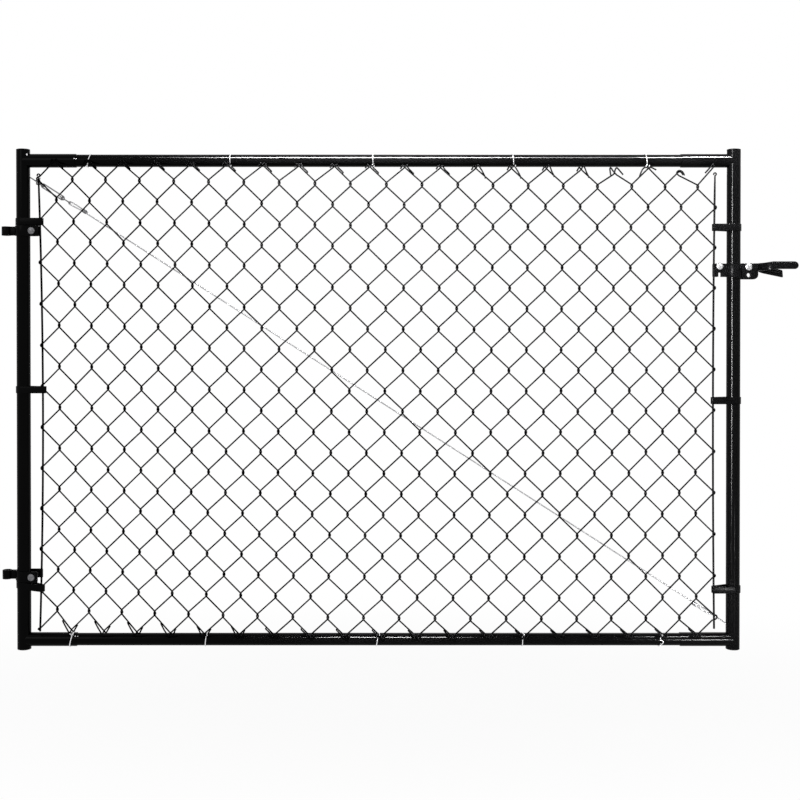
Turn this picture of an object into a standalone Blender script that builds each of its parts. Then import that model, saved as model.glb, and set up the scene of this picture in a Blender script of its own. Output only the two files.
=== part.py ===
"""A chain link walk gate: one leaf with its hinges, fork latch, stretched fabric and truss cable.

Metres, +Z up. +X runs along the leaf from the hinge side to the latch side, and the side that
carries the fabric faces -Y. Pieces are modelled from the foot of the hinge stile's axis, and the
leaf's empty then moves them so that the origin is on the underside of the lower hinge eye.
"""

import math

import bmesh
import bpy
from mathutils import Vector

# Clearances
SEAT = 0.0003
WELD_ROOT = 0.0005
HEEL_GAP = 0.0004
PIN_PLAY = 0.0003
FLANGE_CLEARANCE = 0.0010

# Frame tubes
GATE_HEIGHT = 1.219
STILE_SPACING = 1.736
STILE_OD = 0.0334
STILE_WALL = 0.0016
STUB_OD = 0.0334
STUB_WALL = 0.0013
STUB_REACH = 0.130
RAIL_WALL = 0.0012
RAIL_INSERT = 0.075
TOP_RAIL_DROP = 0.0260
BOTTOM_RAIL_RISE = 0.022
TUBE_SIDES = 16

# End caps of the stiles
CAP_DOME = 0.0016
CAP_RIM = 0.0010
CAP_PLUG = 0.012

# Tension bars: distance from the stile's axis at the gate's top and foot, and how far each bows in
BAR_RADIUS = 0.0022
BAR_TOP_GAP = {"hinge": 0.0648, "latch": 0.0635}
BAR_BOTTOM_GAP = {"hinge": 0.0440, "latch": 0.0505}
BAR_STEPS = 10
BAR_EYE_RADIUS = 0.0030
BAR_EYE_WIRE = 0.0012
HINGE_BAR = (0.0382, 0.0406, 0.0108)
LATCH_BAR = (0.0480, 0.0479, 0.0046)

# Fabric: a diamond net of vertical zigzag wires, and how the stretching has pulled it out of true
DIAMOND_WIDTH = 0.0852
DIAMOND_HEIGHT = 0.1016
FABRIC_WIRE = 0.0031
FABRIC_DEPTH = 0.0064
FABRIC_TOP_MARGIN = 0.0340
FABRIC_BOTTOM_MARGIN = 0.0265
FABRIC_TOP_EDGE = 0.82
FABRIC_BOTTOM_EDGE = 0.86
FABRIC_EDGE_LEAN = 0.09
FABRIC_SQUEEZE = 0.035
FABRIC_LEAN = 0.0072
FABRIC_DRIFT = 0.0051
FABRIC_TILT = 0.0049
FABRIC_SAG = 0.0075
FABRIC_TWIST = 0.0076
FABRIC_WAIST = 0.0049
FABRIC_JOIN = 0.0006
FABRIC_SPLITS = (1 / 3, 2 / 3)

# Tension bands
BAND_THICKNESS = 0.0016
BAND_HEIGHT = 0.0170
BAND_GAP = 0.0124
BAND_HOOK = 0.0018
HINGE_BAND_PAST_BAR = 0.0066
LATCH_BAND_PAST_BAR = 0.0034
HINGE_BAND_DROP = 0.1751
HINGE_BAND_MIDDLE = 0.634
HINGE_BAND_RISE = 0.1555
HINGE_BAND_SLOPE = {"top": 0.0, "middle": 0.0, "bottom": 0.125}
LATCH_BAND_DROP = 0.1893
LATCH_BAND_MIDDLE = 0.6075
LATCH_BAND_RISE = 0.146

# Tie wires, placed by shares of the fabric's width
TIE_RADIUS = 0.0013
TIE_SHIFT = 0.006
TOP_TIES = (0.077, 0.282, 0.487, 0.692, 0.897)
BOTTOM_TIES = (0.051, 0.256, 0.513, 0.718, 0.923)

# Hinge straps
HINGE_TOP_DROP = 0.1977
HINGE_RISE = 0.1815
HINGE_REACH = 0.0413
EYE_BORE = 0.0164
HINGE_THICKNESS = 0.0032
EYE_HEIGHT = 0.022
HINGE_WRAP_HEIGHT = 0.0255
HINGE_FLANGE_HEIGHT = 0.0272
HINGE_FLANGE_GAP = 0.0255
HINGE_BACK_REACH = {"top": 0.0388, "bottom": 0.0421}
HINGE_BOLT_X = {"top": 0.0238, "bottom": 0.0213}
HINGE_SAG = {"top": 0.0, "bottom": 0.0050}
HINGE_SHORT = {"top": 0.0, "bottom": 0.0060}

# Carriage bolts
BOLT_RADIUS = 0.0040
BOLT_HEAD_RADIUS = 0.0088
BOLT_HEAD_HEIGHT = 0.0042
BOLT_TAIL = 0.0035
NUT_FLATS = 0.0125
NUT_HEIGHT = 0.0065

# Latch collar: distances from the latch stile's axis and down from the collar's top edge
COLLAR_DROP = 0.2772
COLLAR_THICKNESS = 0.0026
COLLAR_OUTER_HEIGHT = 0.0385
COLLAR_INNER_HEIGHT = 0.0324
COLLAR_INNER_GAP = 0.010
COLLAR_OUTER_GAP = 0.006
COLLAR_INNER_REACH = 0.0500
COLLAR_OUTER_REACH = 0.0593
COLLAR_CORNER = 0.012
COLLAR_TOP_CORNER = 0.005
COLLAR_BOLT_X = 0.0355
COLLAR_BOLT_DROP = 0.0068
NOTCH_X = 0.0345
NOTCH_WIDTH = 0.0088
NOTCH_DEPTH = 0.0105
LOCK_HOLE_X = 0.0362
LOCK_HOLE_DROP = 0.0280
LOCK_HOLE_RADIUS = 0.0052

# Latch fork: its front prong is longer, and both prongs are rolled about the fork's length
PIVOT_X = 0.0357
PIVOT_DROP = 0.0082
FORK_TAIL = 0.005
FORK_CLEARANCE = 0.001
FORK_SWEEP = 0.024
FORK_FRONT_REACH = 0.1111
FORK_BACK_REACH = 0.0964
FORK_SPREAD = 0.038
FORK_THICKNESS = 0.0035
FORK_HEIGHT = 0.0190
FORK_ROLL = math.radians(13.6)
FORK_SET = 0.0062

# Truss cable and turnbuckle
TRUSS_DEPTH = 0.0020
TRUSS_TOP_DROP = 0.0759
TRUSS_TOP_X = 0.0315
TRUSS_BOTTOM_RISE = 0.0847
TRUSS_BOTTOM_X = 0.0534
TRUSS_WIRE = 0.0015
TRUSS_RING = 0.0050
CABLE_RADIUS = 0.0016
CABLE_LOOP = 0.033
CABLE_LOOP_WIDTH = 0.0105
CABLE_END = 0.005
CLAMP_GAP = 0.002
CLAMP_LENGTH = 0.011
CLAMP_WALL = 0.0010
CLAMP_CORNERS = ((1, 0.55), (0.65, 1), (-0.65, 1), (-1, 0.55), (-1, -0.55), (-0.65, -1), (0.65, -1), (1, -0.55))
TURNBUCKLE_START = 0.0140
TURNBUCKLE_LENGTH = 0.0680
TURNBUCKLE_WIDTH = 0.0120
TURNBUCKLE_DEPTH = 0.0070
TURNBUCKLE_COLLAR = 0.009
TURNBUCKLE_BAR = 0.0030
TURNBUCKLE_EYE = 0.0115

# Sizes that follow from the others
STILE_RADIUS = STILE_OD / 2
STUB_RADIUS = STUB_OD / 2
RAIL_RADIUS = STUB_RADIUS - STUB_WALL - SEAT
TOP_RAIL_Z = GATE_HEIGHT - TOP_RAIL_DROP
BOTTOM_RAIL_Z = BOTTOM_RAIL_RISE
BAND_WRAP = STILE_RADIUS + SEAT + BAND_THICKNESS / 2
BAR_Y = BAND_GAP / 2 - BAND_WRAP
HINGE_BANDS = {
    "top": GATE_HEIGHT - HINGE_BAND_DROP,
    "middle": HINGE_BAND_MIDDLE,
    "bottom": HINGE_BAND_RISE,
}
LATCH_BANDS = {
    "top": GATE_HEIGHT - LATCH_BAND_DROP,
    "middle": LATCH_BAND_MIDDLE,
    "bottom": LATCH_BAND_RISE,
}
HINGES = {"top": GATE_HEIGHT - HINGE_TOP_DROP, "bottom": HINGE_RISE}
EYE_RADIUS = EYE_BORE / 2 + HINGE_THICKNESS / 2
COLLAR_TOP = GATE_HEIGHT - COLLAR_DROP
COLLAR_OUTER_BOTTOM = COLLAR_TOP - COLLAR_OUTER_HEIGHT
COLLAR_INNER_BOTTOM = COLLAR_TOP - COLLAR_INNER_HEIGHT
PIVOT_Z = COLLAR_TOP - PIVOT_DROP
CORNER_X = COLLAR_OUTER_REACH - PIVOT_X - COLLAR_TOP_CORNER
CORNER_Z = COLLAR_TOP - PIVOT_Z - COLLAR_TOP_CORNER
COLLAR_SWEEP = math.hypot(CORNER_X, CORNER_Z) + COLLAR_TOP_CORNER
FORK_ROOT = COLLAR_SWEEP + FORK_CLEARANCE + FORK_THICKNESS / 2

ALONG = Vector((1, 0, 0))
BACK = Vector((0, 1, 0))
UP = Vector((0, 0, 1))


def clear_scene():
    for obj in list(bpy.data.objects):
        bpy.data.objects.remove(obj, do_unlink=True)


def material(name, colour, roughness, metallic):
    result = bpy.data.materials.new(name)
    result.use_nodes = True
    shader = result.node_tree.nodes["Principled BSDF"]
    shader.inputs["Base Color"].default_value = (*colour, 1)
    shader.inputs["Roughness"].default_value = roughness
    shader.inputs["Metallic"].default_value = metallic
    return result


def place(name, mesh, finish, parent, location=(0, 0, 0), smooth=True):
    """One named piece of the leaf, in its finish, under the parent empty."""
    mesh.materials.append(finish)
    if smooth:
        mesh.shade_smooth()
        mesh.set_sharp_from_angle(angle=math.radians(35))
    obj = bpy.data.objects.new(name, mesh)
    bpy.context.scene.collection.objects.link(obj)
    obj.parent = parent
    obj.location = location
    return obj


def helper(name, mesh, parent, location=(0, 0, 0)):
    """A solid that only cuts or joins another."""
    obj = bpy.data.objects.new(name, mesh)
    bpy.context.scene.collection.objects.link(obj)
    obj.parent = parent
    obj.location = location
    obj.hide_render = True
    obj.display_type = "WIRE"
    return obj


def combine(obj, other, operation):
    modifier = obj.modifiers.new(other.name, "BOOLEAN")
    modifier.operation = operation
    modifier.solver = "EXACT"
    modifier.object = other


def loft(name, loops, closed=False):
    """Skins point loops of equal length, and fills both ends unless the last joins the first."""
    bm = bmesh.new()
    rings = [[bm.verts.new(point) for point in loop] for loop in loops]
    pairs = list(zip(rings, rings[1:]))
    if closed:
        pairs.append((rings[-1], rings[0]))
    else:
        bm.faces.new(rings[0])
        bm.faces.new(list(reversed(rings[-1])))
    for low, high in pairs:
        for k in range(len(low)):
            bm.faces.new((low[k - 1], low[k], high[k], high[k - 1]))
    bmesh.ops.recalc_face_normals(bm, faces=bm.faces)
    mesh = bpy.data.meshes.new(name)
    bm.to_mesh(mesh)
    bm.free()
    return mesh


def circle(radius, z=0.0, sides=12):
    """Points round the Z axis, with a flat facing +X."""
    points = []
    for k in range(sides):
        angle = math.tau * (k + 0.5) / sides
        points.append(Vector((radius * math.cos(angle), radius * math.sin(angle), z)))
    return points


def arc(centre, radius, start, end, steps):
    """Points (x, y) whose chords touch a circle from outside, angles in degrees."""
    half_step = math.radians(abs(end - start)) / steps / 2
    reach = radius / math.cos(half_step)
    points = []
    for k in range(steps + 1):
        angle = math.radians(start + (end - start) * k / steps)
        points.append((centre[0] + reach * math.cos(angle), centre[1] + reach * math.sin(angle)))
    return points


def offsets(points, normal, closed=False):
    """The sideways vector at each point of a flat path that keeps its width even round bends."""
    count = len(points)
    result = []
    for k in range(count):
        inside = closed or 0 < k < count - 1
        before = points[k] - points[k - 1] if inside or k else points[1] - points[0]
        after = points[(k + 1) % count] - points[k] if inside or k < count - 1 else before
        before_side = normal.cross(before.normalized())
        after_side = normal.cross(after.normalized())
        side = (before_side + after_side).normalized()
        result.append(side / side.dot(after_side))
    return result


def wire(name, points, radius, normal, sides=6, closed=False):
    """A round wire along a flat path."""
    loops = []
    for point, side in zip(points, offsets(points, normal, closed)):
        loop = []
        for k in range(sides):
            angle = math.tau * (k + 0.5) / sides
            loop.append(point + radius * (math.cos(angle) * side + math.sin(angle) * normal))
        loops.append(loop)
    return loft(name, loops, closed)


def strap(name, stations, thickness):
    """A flat strap that stands on edge along (x, y), each station with its own low and high edge."""
    points = [Vector((x, y, 0)) for x, y, low, high in stations]
    loops = []
    for station, point, side in zip(stations, points, offsets(points, UP)):
        inner = point - side * thickness / 2
        outer = point + side * thickness / 2
        low = station[2] * UP
        high = station[3] * UP
        loops.append([inner + low, inner + high, outer + high, outer + low])
    return loft(name, loops)


def box_mesh(name, width, depth, height):
    """A block centred on its own origin."""
    loops = []
    for z in (-height / 2, height / 2):
        corners = ((-1, -1), (1, -1), (1, 1), (-1, 1))
        loops.append([Vector((sx * width / 2, sy * depth / 2, z)) for sx, sy in corners])
    return loft(name, loops)


def turned_upright(mesh):
    """Turns a mesh made along +Z so that it lies along +Y."""
    for vertex in mesh.vertices:
        x, y, z = vertex.co
        vertex.co = (x, z, -y)
    return mesh


def drill(obj, name, x, z, radius, parent):
    """A round hole along Y through a piece."""
    length = 0.2
    mesh = turned_upright(loft(name, [circle(radius, -length / 2), circle(radius, length / 2)]))
    combine(obj, helper(name, mesh, parent, (x, 0, z)), "DIFFERENCE")


def tube(name, outer, wall, start, end, cope=0.0):
    """A tube along +X. With a cope its start is shaped to a round upright of that radius."""
    loops = []
    for radius, x in ((outer, start), (outer, end), (outer - wall, end), (outer - wall, start)):
        loop = []
        for point in circle(radius, sides=TUBE_SIDES):
            shaped = math.sqrt(cope**2 - point.x**2) if cope and x == start else x
            loop.append(Vector((shaped, point.x, point.y)))
        loops.append(loop)
    return loft(name, loops, closed=True)


def upright_tube(name, radius, wall, bottom, top):
    loops = []
    for ring, z in ((radius, bottom), (radius, top), (radius - wall, top), (radius - wall, bottom)):
        loops.append(circle(ring, z, TUBE_SIDES))
    return loft(name, loops, closed=True)


def mirrored(mesh):
    """Turns a piece of the hinge side into its mirror image for the latch side."""
    for vertex in mesh.vertices:
        vertex.co.x = -vertex.co.x
    mesh.flip_normals()
    return mesh


def bar_offset(bar, z):
    """Distance of a tension bar's middle from its stile's axis at height z."""
    top, bottom, bow = bar
    down = min(max(1 - z / GATE_HEIGHT, 0), 1)
    return top + (bottom - top) * down + 4 * bow * down * (1 - down)


def make_stiles(leaf, black, plastic):
    for side, x in (("hinge", 0), ("latch", STILE_SPACING)):
        mesh = upright_tube("stile", STILE_RADIUS, STILE_WALL, 0, GATE_HEIGHT)
        place(f"{side}_stile", mesh, black, leaf, (x, 0, 0))
        for end, z, way in (("top", GATE_HEIGHT, 1), ("bottom", 0, -1)):
            plug = STILE_RADIUS - STILE_WALL - SEAT
            profile = (
                (plug - 0.002, -CAP_PLUG),
                (plug, -CAP_PLUG + 0.002),
                (plug, SEAT),
                (STILE_RADIUS, SEAT),
                (STILE_RADIUS, SEAT + CAP_RIM),
                (STILE_RADIUS * 0.72, SEAT + CAP_RIM + CAP_DOME),
            )
            loops = [circle(radius, way * height) for radius, height in profile]
            place(f"{side}_stile_cap_{end}", loft("cap", loops), plastic, leaf, (x, 0, z))


def make_rails(leaf, black):
    root = STILE_RADIUS + WELD_ROOT
    for end, z in (("top", TOP_RAIL_Z), ("bottom", BOTTOM_RAIL_Z)):
        mesh = tube("stub", STUB_RADIUS, STUB_WALL, 0, STUB_REACH, root)
        place(f"hinge_stub_{end}", mesh, black, leaf, (0, 0, z))
        mesh = mirrored(tube("stub", STUB_RADIUS, STUB_WALL, 0, STUB_REACH, root))
        place(f"latch_stub_{end}", mesh, black, leaf, (STILE_SPACING, 0, z))
        start = STUB_REACH - RAIL_INSERT
        mesh = tube("rail", RAIL_RADIUS, RAIL_WALL, start, STILE_SPACING - start)
        place(f"{end}_rail", mesh, black, leaf, (0, 0, z))


def make_tension_bars(leaf, black):
    """Slim rods through the end loops of the fabric, each with an eye at its top."""
    for side, bar, x, way in (("hinge", HINGE_BAR, 0, 1), ("latch", LATCH_BAR, STILE_SPACING, -1)):
        points = []
        foot = BAR_BOTTOM_GAP[side]
        length = GATE_HEIGHT - BAR_TOP_GAP[side] - foot
        for k in range(BAR_STEPS + 1):
            z = foot + length * k / BAR_STEPS
            points.append(Vector((way * bar_offset(bar, z), BAR_Y, z)))
        rod = place(f"{side}_tension_bar", wire("bar", points, BAR_RADIUS, BACK), black, leaf, (x, 0, 0))
        centre = points[-1] + UP * (BAR_EYE_RADIUS - BAR_EYE_WIRE / 2)
        ring = ring_points(centre, BAR_EYE_RADIUS, ALONG, UP, 0, 315, 7)
        eye = wire("eye", ring, BAR_EYE_WIRE, BACK, closed=True)
        combine(rod, helper(f"{side}_bar_eye", eye, leaf, (x, 0, 0)), "UNION")


def tangent_angle(point, radius):
    """Plan angle, in degrees, where a straight leg from the point meets a circle on the axis."""
    distance = math.hypot(*point)
    spread = math.degrees(math.acos(radius / distance))
    return math.degrees(math.atan2(point[1], point[0])), spread


def make_bands(leaf, black):
    """Straps round the stile whose two ends hook behind the tension bar."""
    for side, bar, bands, past in (
        ("hinge", HINGE_BAR, HINGE_BANDS, HINGE_BAND_PAST_BAR),
        ("latch", LATCH_BAR, LATCH_BANDS, LATCH_BAND_PAST_BAR),
    ):
        for level, z in bands.items():
            hook_x = bar_offset(bar, z) + past
            front = (hook_x, BAR_Y - BAND_GAP / 2)
            back = (hook_x, BAR_Y + BAND_GAP / 2)
            front_angle, front_spread = tangent_angle(front, BAND_WRAP)
            back_angle, back_spread = tangent_angle(back, BAND_WRAP)
            start = front_angle - front_spread
            end = back_angle + back_spread - 360
            path = [(hook_x, front[1] + BAND_HOOK), front]
            path += arc((0, 0), BAND_WRAP, start, end, 10)
            path += [back, (hook_x, back[1] - BAND_HOOK)]
            stations = [(x, y, -BAND_HEIGHT / 2, BAND_HEIGHT / 2) for x, y in path]
            mesh = strap("band", stations, BAND_THICKNESS)
            if side == "hinge":
                for vertex in mesh.vertices:
                    vertex.co.z -= HINGE_BAND_SLOPE[level] * vertex.co.x
                place(f"hinge_band_{level}", mesh, black, leaf, (0, 0, z))
            else:
                place(f"latch_band_{level}", mirrored(mesh), black, leaf, (STILE_SPACING, 0, z))


def carriage_bolt(name, grip):
    """A bolt along +Y from the seat of its domed head, with its nut past the grip."""
    rings = [
        (0.45 * BOLT_HEAD_RADIUS, -BOLT_HEAD_HEIGHT, False),
        (0.85 * BOLT_HEAD_RADIUS, -0.65 * BOLT_HEAD_HEIGHT, False),
        (BOLT_HEAD_RADIUS, -0.2 * BOLT_HEAD_HEIGHT, False),
        (BOLT_HEAD_RADIUS, 0, False),
        (BOLT_RADIUS, 0, False),
        (BOLT_RADIUS, grip, False),
        (NUT_FLATS / 2, grip, True),
        (NUT_FLATS / 2, grip + NUT_HEIGHT, True),
        (BOLT_RADIUS, grip + NUT_HEIGHT, False),
        (BOLT_RADIUS, grip + NUT_HEIGHT + BOLT_TAIL, False),
    ]
    loops = []
    for radius, height, hexagon in rings:
        loop = []
        for k in range(12):
            angle = math.tau * k / 12
            corner = math.cos(math.radians(30)) if k % 2 else 1
            reach = radius / corner if hexagon else radius
            loop.append(Vector((reach * math.cos(angle), reach * math.sin(angle), height)))
        loops.append(loop)
    return turned_upright(loft(name, loops))


def make_hinges(leaf, black, steel):
    """A strap round a pintle eye and the stile, closed by a bolt; its front half may sag."""
    half = HINGE_THICKNESS / 2
    wrap = STILE_RADIUS + SEAT + half
    flange_y = HINGE_FLANGE_GAP / 2 + half
    neck_y = half + SEAT / 2
    eye_height = EYE_HEIGHT / 2
    wrap_height = HINGE_WRAP_HEIGHT / 2
    flange_height = HINGE_FLANGE_HEIGHT / 2
    flange_angle = math.degrees(math.asin(flange_y / wrap))
    neck_angle = math.degrees(math.asin(neck_y / wrap))
    eye_angle = math.degrees(math.asin(neck_y / EYE_RADIUS))
    wrap_arc = arc((0, 0), wrap, -flange_angle, neck_angle - 180, 6)
    eye_arc = arc((-HINGE_REACH, 0), EYE_RADIUS, -eye_angle, -180, 6)
    eye = [(x, y, -eye_height, eye_height) for x, y in eye_arc]
    eye[0] = (eye_arc[0][0], -neck_y, -eye_height, eye_height)
    eye[-1] = (eye_arc[-1][0], 0, -eye_height, eye_height)
    eye_back = [(x, -y, low, high) for x, y, low, high in reversed(eye[:-1])]
    for level, z in HINGES.items():
        sag = HINGE_SAG[level]
        reach = bar_offset(HINGE_BAR, z) - BAR_RADIUS - FLANGE_CLEARANCE - HINGE_SHORT[level]
        low = -flange_height - sag
        high = flange_height - sag
        front = [(reach, -flange_y, low, high), (wrap_arc[0][0], -flange_y, low, high)]
        inside = wrap_arc[1:-1]
        for number, (x, y) in enumerate(inside, 1):
            drop = sag * (1 - number / (len(inside) + 1))
            front.append((x, y, -wrap_height - drop, wrap_height - drop))
        front.append((wrap_arc[-1][0], -neck_y, -eye_height, eye_height))
        back = [(wrap_arc[-1][0], neck_y, -eye_height, eye_height)]
        back += [(x, -y, -wrap_height, wrap_height) for x, y in reversed(inside)]
        back.append((wrap_arc[0][0], flange_y, -eye_height, eye_height))
        back.append((HINGE_BACK_REACH[level], flange_y, -eye_height, eye_height))
        mesh = strap("strap", front + eye + eye_back + back, HINGE_THICKNESS)
        obj = place(f"hinge_strap_{level}", mesh, black, leaf, (0, 0, z))
        bolt_x = HINGE_BOLT_X[level]
        drill(obj, f"hinge_hole_{level}", bolt_x, z - sag, BOLT_RADIUS + 2 * PIN_PLAY, leaf)
        seat = flange_y + half + SEAT
        mesh = carriage_bolt("bolt", 2 * seat)
        place(f"hinge_bolt_{level}", mesh, steel, leaf, (bolt_x, -seat, z - sag))


def make_latch_collar(leaf, black, steel):
    """Two pressed halves round the latch stile: a flange by the fabric and one for the fork."""
    half = COLLAR_THICKNESS / 2
    wrap = STILE_RADIUS + SEAT + half
    inner_y = COLLAR_INNER_GAP / 2 + half
    outer_y = COLLAR_OUTER_GAP / 2 + half
    inner_angle = math.degrees(math.asin(inner_y / wrap))
    outer_angle = math.degrees(math.asin(outer_y / wrap))
    bottom_z = (COLLAR_INNER_BOTTOM + COLLAR_OUTER_BOTTOM) / 2
    wrap_arc = arc((0, 0), wrap, inner_angle - 180, -outer_angle, 6)
    bolt_z = COLLAR_TOP - COLLAR_BOLT_DROP
    for face, way in (("front", 1), ("back", -1)):
        stations = [(-COLLAR_INNER_REACH, -inner_y, COLLAR_INNER_BOTTOM, COLLAR_TOP)]
        stations += [(wrap_arc[0][0], -inner_y, COLLAR_INNER_BOTTOM, COLLAR_TOP)]
        stations += [(x, y, bottom_z, COLLAR_TOP) for x, y in wrap_arc[1:-1]]
        stations += [(wrap_arc[-1][0], -outer_y, COLLAR_OUTER_BOTTOM, COLLAR_TOP)]
        for turn in (0, 30, 60, 85):
            inset = COLLAR_CORNER * (1 - math.sin(math.radians(turn)))
            low = COLLAR_OUTER_BOTTOM + COLLAR_CORNER * (1 - math.cos(math.radians(turn)))
            short = COLLAR_TOP_CORNER - min(inset, COLLAR_TOP_CORNER)
            top = COLLAR_TOP - COLLAR_TOP_CORNER + math.sqrt(COLLAR_TOP_CORNER**2 - short**2)
            stations.append((COLLAR_OUTER_REACH - inset, -outer_y, low, top))
        mesh = strap("collar", [(x, way * y, low, high) for x, y, low, high in stations], COLLAR_THICKNESS)
        obj = place(f"latch_collar_{face}", mesh, black, leaf, (STILE_SPACING, 0, 0))
        hole = BOLT_RADIUS + 2 * PIN_PLAY
        drill(obj, f"collar_hole_{face}", STILE_SPACING - COLLAR_BOLT_X, bolt_z, hole, leaf)
        drill(obj, f"pivot_hole_{face}", STILE_SPACING + PIVOT_X, PIVOT_Z, hole, leaf)
        lock_z = COLLAR_TOP - LOCK_HOLE_DROP
        drill(obj, f"lock_hole_{face}", STILE_SPACING + LOCK_HOLE_X, lock_z, LOCK_HOLE_RADIUS, leaf)
        notch = box_mesh("notch", NOTCH_WIDTH, inner_y + COLLAR_THICKNESS, 2 * NOTCH_DEPTH)
        place_x = STILE_SPACING - NOTCH_X
        cutter = helper(f"notch_{face}", notch, leaf, (place_x, -way * inner_y, COLLAR_INNER_BOTTOM))
        combine(obj, cutter, "DIFFERENCE")
    for name, x, z, y in (
        ("latch_collar_bolt", STILE_SPACING - COLLAR_BOLT_X, bolt_z, inner_y),
        ("latch_pivot_bolt", STILE_SPACING + PIVOT_X, PIVOT_Z, outer_y),
    ):
        seat = y + half + SEAT
        place(name, carriage_bolt("bolt", 2 * seat), steel, leaf, (x, -seat, z))


def make_latch_fork(leaf, black):
    """The fork that drops over the post: a tail between the collar plates and two swept prongs."""
    pivot = bpy.data.objects.new("fork_pivot", None)
    bpy.context.scene.collection.objects.link(pivot)
    pivot.parent = leaf
    pivot.location = (STILE_SPACING + PIVOT_X, 0, PIVOT_Z)

    high = FORK_HEIGHT / 2
    tip = []
    for turn in (75, 50, 25, 0):
        x = FORK_FRONT_REACH - high * (1 - math.sin(math.radians(turn)))
        rise = high * math.cos(math.radians(turn))
        tip.append((x, -FORK_SPREAD, -rise, rise))
    sweep = []
    for turn in (90, 72, 54, 36, 18):
        x = FORK_ROOT + FORK_SWEEP * (1 - math.cos(math.radians(turn)))
        y = FORK_SPREAD * math.sin(math.radians(turn))
        sweep.append((x, -y, -high, high))
    nose = [(FORK_ROOT, 0, -high, high)]
    back = [(x, -y, low, top) for x, y, low, top in reversed(sweep)]
    back.append((FORK_BACK_REACH, FORK_SPREAD, -high, high))
    mesh = strap("fork", tip + sweep + nose + back, FORK_THICKNESS)
    for vertex in mesh.vertices:
        x, y, z = vertex.co
        turned_over = FORK_SWEEP if y < 0 else FORK_BACK_REACH - FORK_ROOT
        share = min(max((x - FORK_ROOT) / turned_over, 0), 1)
        roll = FORK_ROLL * share
        turned_y = y * math.cos(roll) + z * math.sin(roll)
        turned_z = z * math.cos(roll) - y * math.sin(roll)
        vertex.co = (x, turned_y, turned_z - FORK_SET * share)
    fork = place("latch_fork", mesh, black, pivot)

    heel = PIVOT_X - STILE_RADIUS - HEEL_GAP
    edge = high - 0.0005
    shoulder = 180 - math.degrees(math.asin(edge / heel))
    outline = [(-heel, -edge), (FORK_ROOT + 0.001, -edge), (FORK_ROOT + 0.001, edge)]
    for k in range(4):
        angle = math.radians(shoulder + (180 - shoulder) * k / 3)
        outline.append((heel * math.cos(angle), heel * math.sin(angle)))
    faces = []
    for y in (-FORK_TAIL / 2, FORK_TAIL / 2):
        faces.append([Vector((x, y, z)) for x, z in outline])
    combine(fork, helper("fork_tail", loft("tail", faces), pivot), "UNION")
    drill(fork, "fork_hole", 0, 0, BOLT_RADIUS + PIN_PLAY * 1.5, pivot)


def fabric_grid():
    """The points where the net's wires cross, by column from the hinge side and row from the top."""
    top = GATE_HEIGHT - FABRIC_TOP_MARGIN
    bottom = FABRIC_BOTTOM_MARGIN
    clear = STILE_SPACING - HINGE_BAR[0] - LATCH_BAR[0]
    columns = round(clear / (DIAMOND_WIDTH / 2))
    rows = round((top - bottom) / (DIAMOND_HEIGHT / 2))
    edge_y = -STUB_RADIUS - SEAT - FABRIC_DEPTH / 2
    face = BAR_RADIUS + SEAT
    grid = {}
    for column in range(columns + 1):
        across = 2 * column / columns - 1
        inner = 1 - across**2
        for row in range(rows + 1):
            if (column + row) % 2 == 0:
                continue
            line = row
            if row == 0:
                line = 1 - FABRIC_TOP_EDGE
            elif row == rows:
                line = rows - 1 + FABRIC_BOTTOM_EDGE - FABRIC_EDGE_LEAN * across
            down = 2 * line / rows - 1
            z = (top + bottom) / 2 - down * (top - bottom) / 2
            z += FABRIC_SAG * across**2 - FABRIC_TILT * across
            z += FABRIC_WAIST * across**2 * down - FABRIC_TWIST * across * down**2
            start = bar_offset(HINGE_BAR, z) + face
            end = STILE_SPACING - bar_offset(LATCH_BAR, z) - face
            x = (start + end) / 2 + (end - start) / 2 * across * (1 + FABRIC_SQUEEZE * inner)
            x -= (FABRIC_LEAN * down + FABRIC_DRIFT) * inner
            y = edge_y if row in (0, rows) else BAR_Y
            grid[column, row] = Vector((x, y, z))
    return grid, columns, rows


def hub_corners(grid, column, row, first, last):
    """The four corners of a crossing: left, top, right and bottom; flat where the panel ends."""
    point = grid[column, row]
    across = 0.73 * FABRIC_WIRE
    rise = 0.65 * FABRIC_WIRE
    left = point - ALONG * across
    right = point + ALONG * across
    top = point + UP * rise
    bottom = point - UP * rise
    if column == first:
        start = ALONG * (FABRIC_JOIN if column else 0)
        return [None, top + start, right + start, bottom + start]
    if column == last:
        return [left, top, None, bottom]
    return [left, top, right, bottom]


def fabric_panel(name, grid, first, last, rows):
    """One stretch of the net between two columns: a sheet, thickened front to back."""
    bm = bmesh.new()
    hubs = {}
    for column in range(first, last + 1):
        for row in range(rows + 1):
            if (column, row) in grid:
                corners = hub_corners(grid, column, row, first, last)
                verts = [bm.verts.new(corner) if corner else None for corner in corners]
                hubs[column, row] = verts
                bm.faces.new([vert for vert in verts if vert])
    for (column, row), (left, top, right, bottom) in hubs.items():
        for step in (-1, 1):
            other = hubs.get((column + 1, row + step))
            if other is None:
                continue
            far_left, far_top, _, far_bottom = other
            if step > 0:
                bm.faces.new([bottom, right, far_top, far_left])
            else:
                bm.faces.new([right, top, far_left, far_bottom])
    bmesh.ops.translate(bm, vec=-BACK * FABRIC_DEPTH / 2, verts=bm.verts)
    extruded = bmesh.ops.extrude_face_region(bm, geom=list(bm.faces), use_keep_orig=True)
    raised = [item for item in extruded["geom"] if isinstance(item, bmesh.types.BMVert)]
    bmesh.ops.translate(bm, vec=BACK * FABRIC_DEPTH, verts=raised)
    bmesh.ops.recalc_face_normals(bm, faces=bm.faces)
    mesh = bpy.data.meshes.new(name)
    bm.to_mesh(mesh)
    bm.free()
    return mesh


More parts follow.
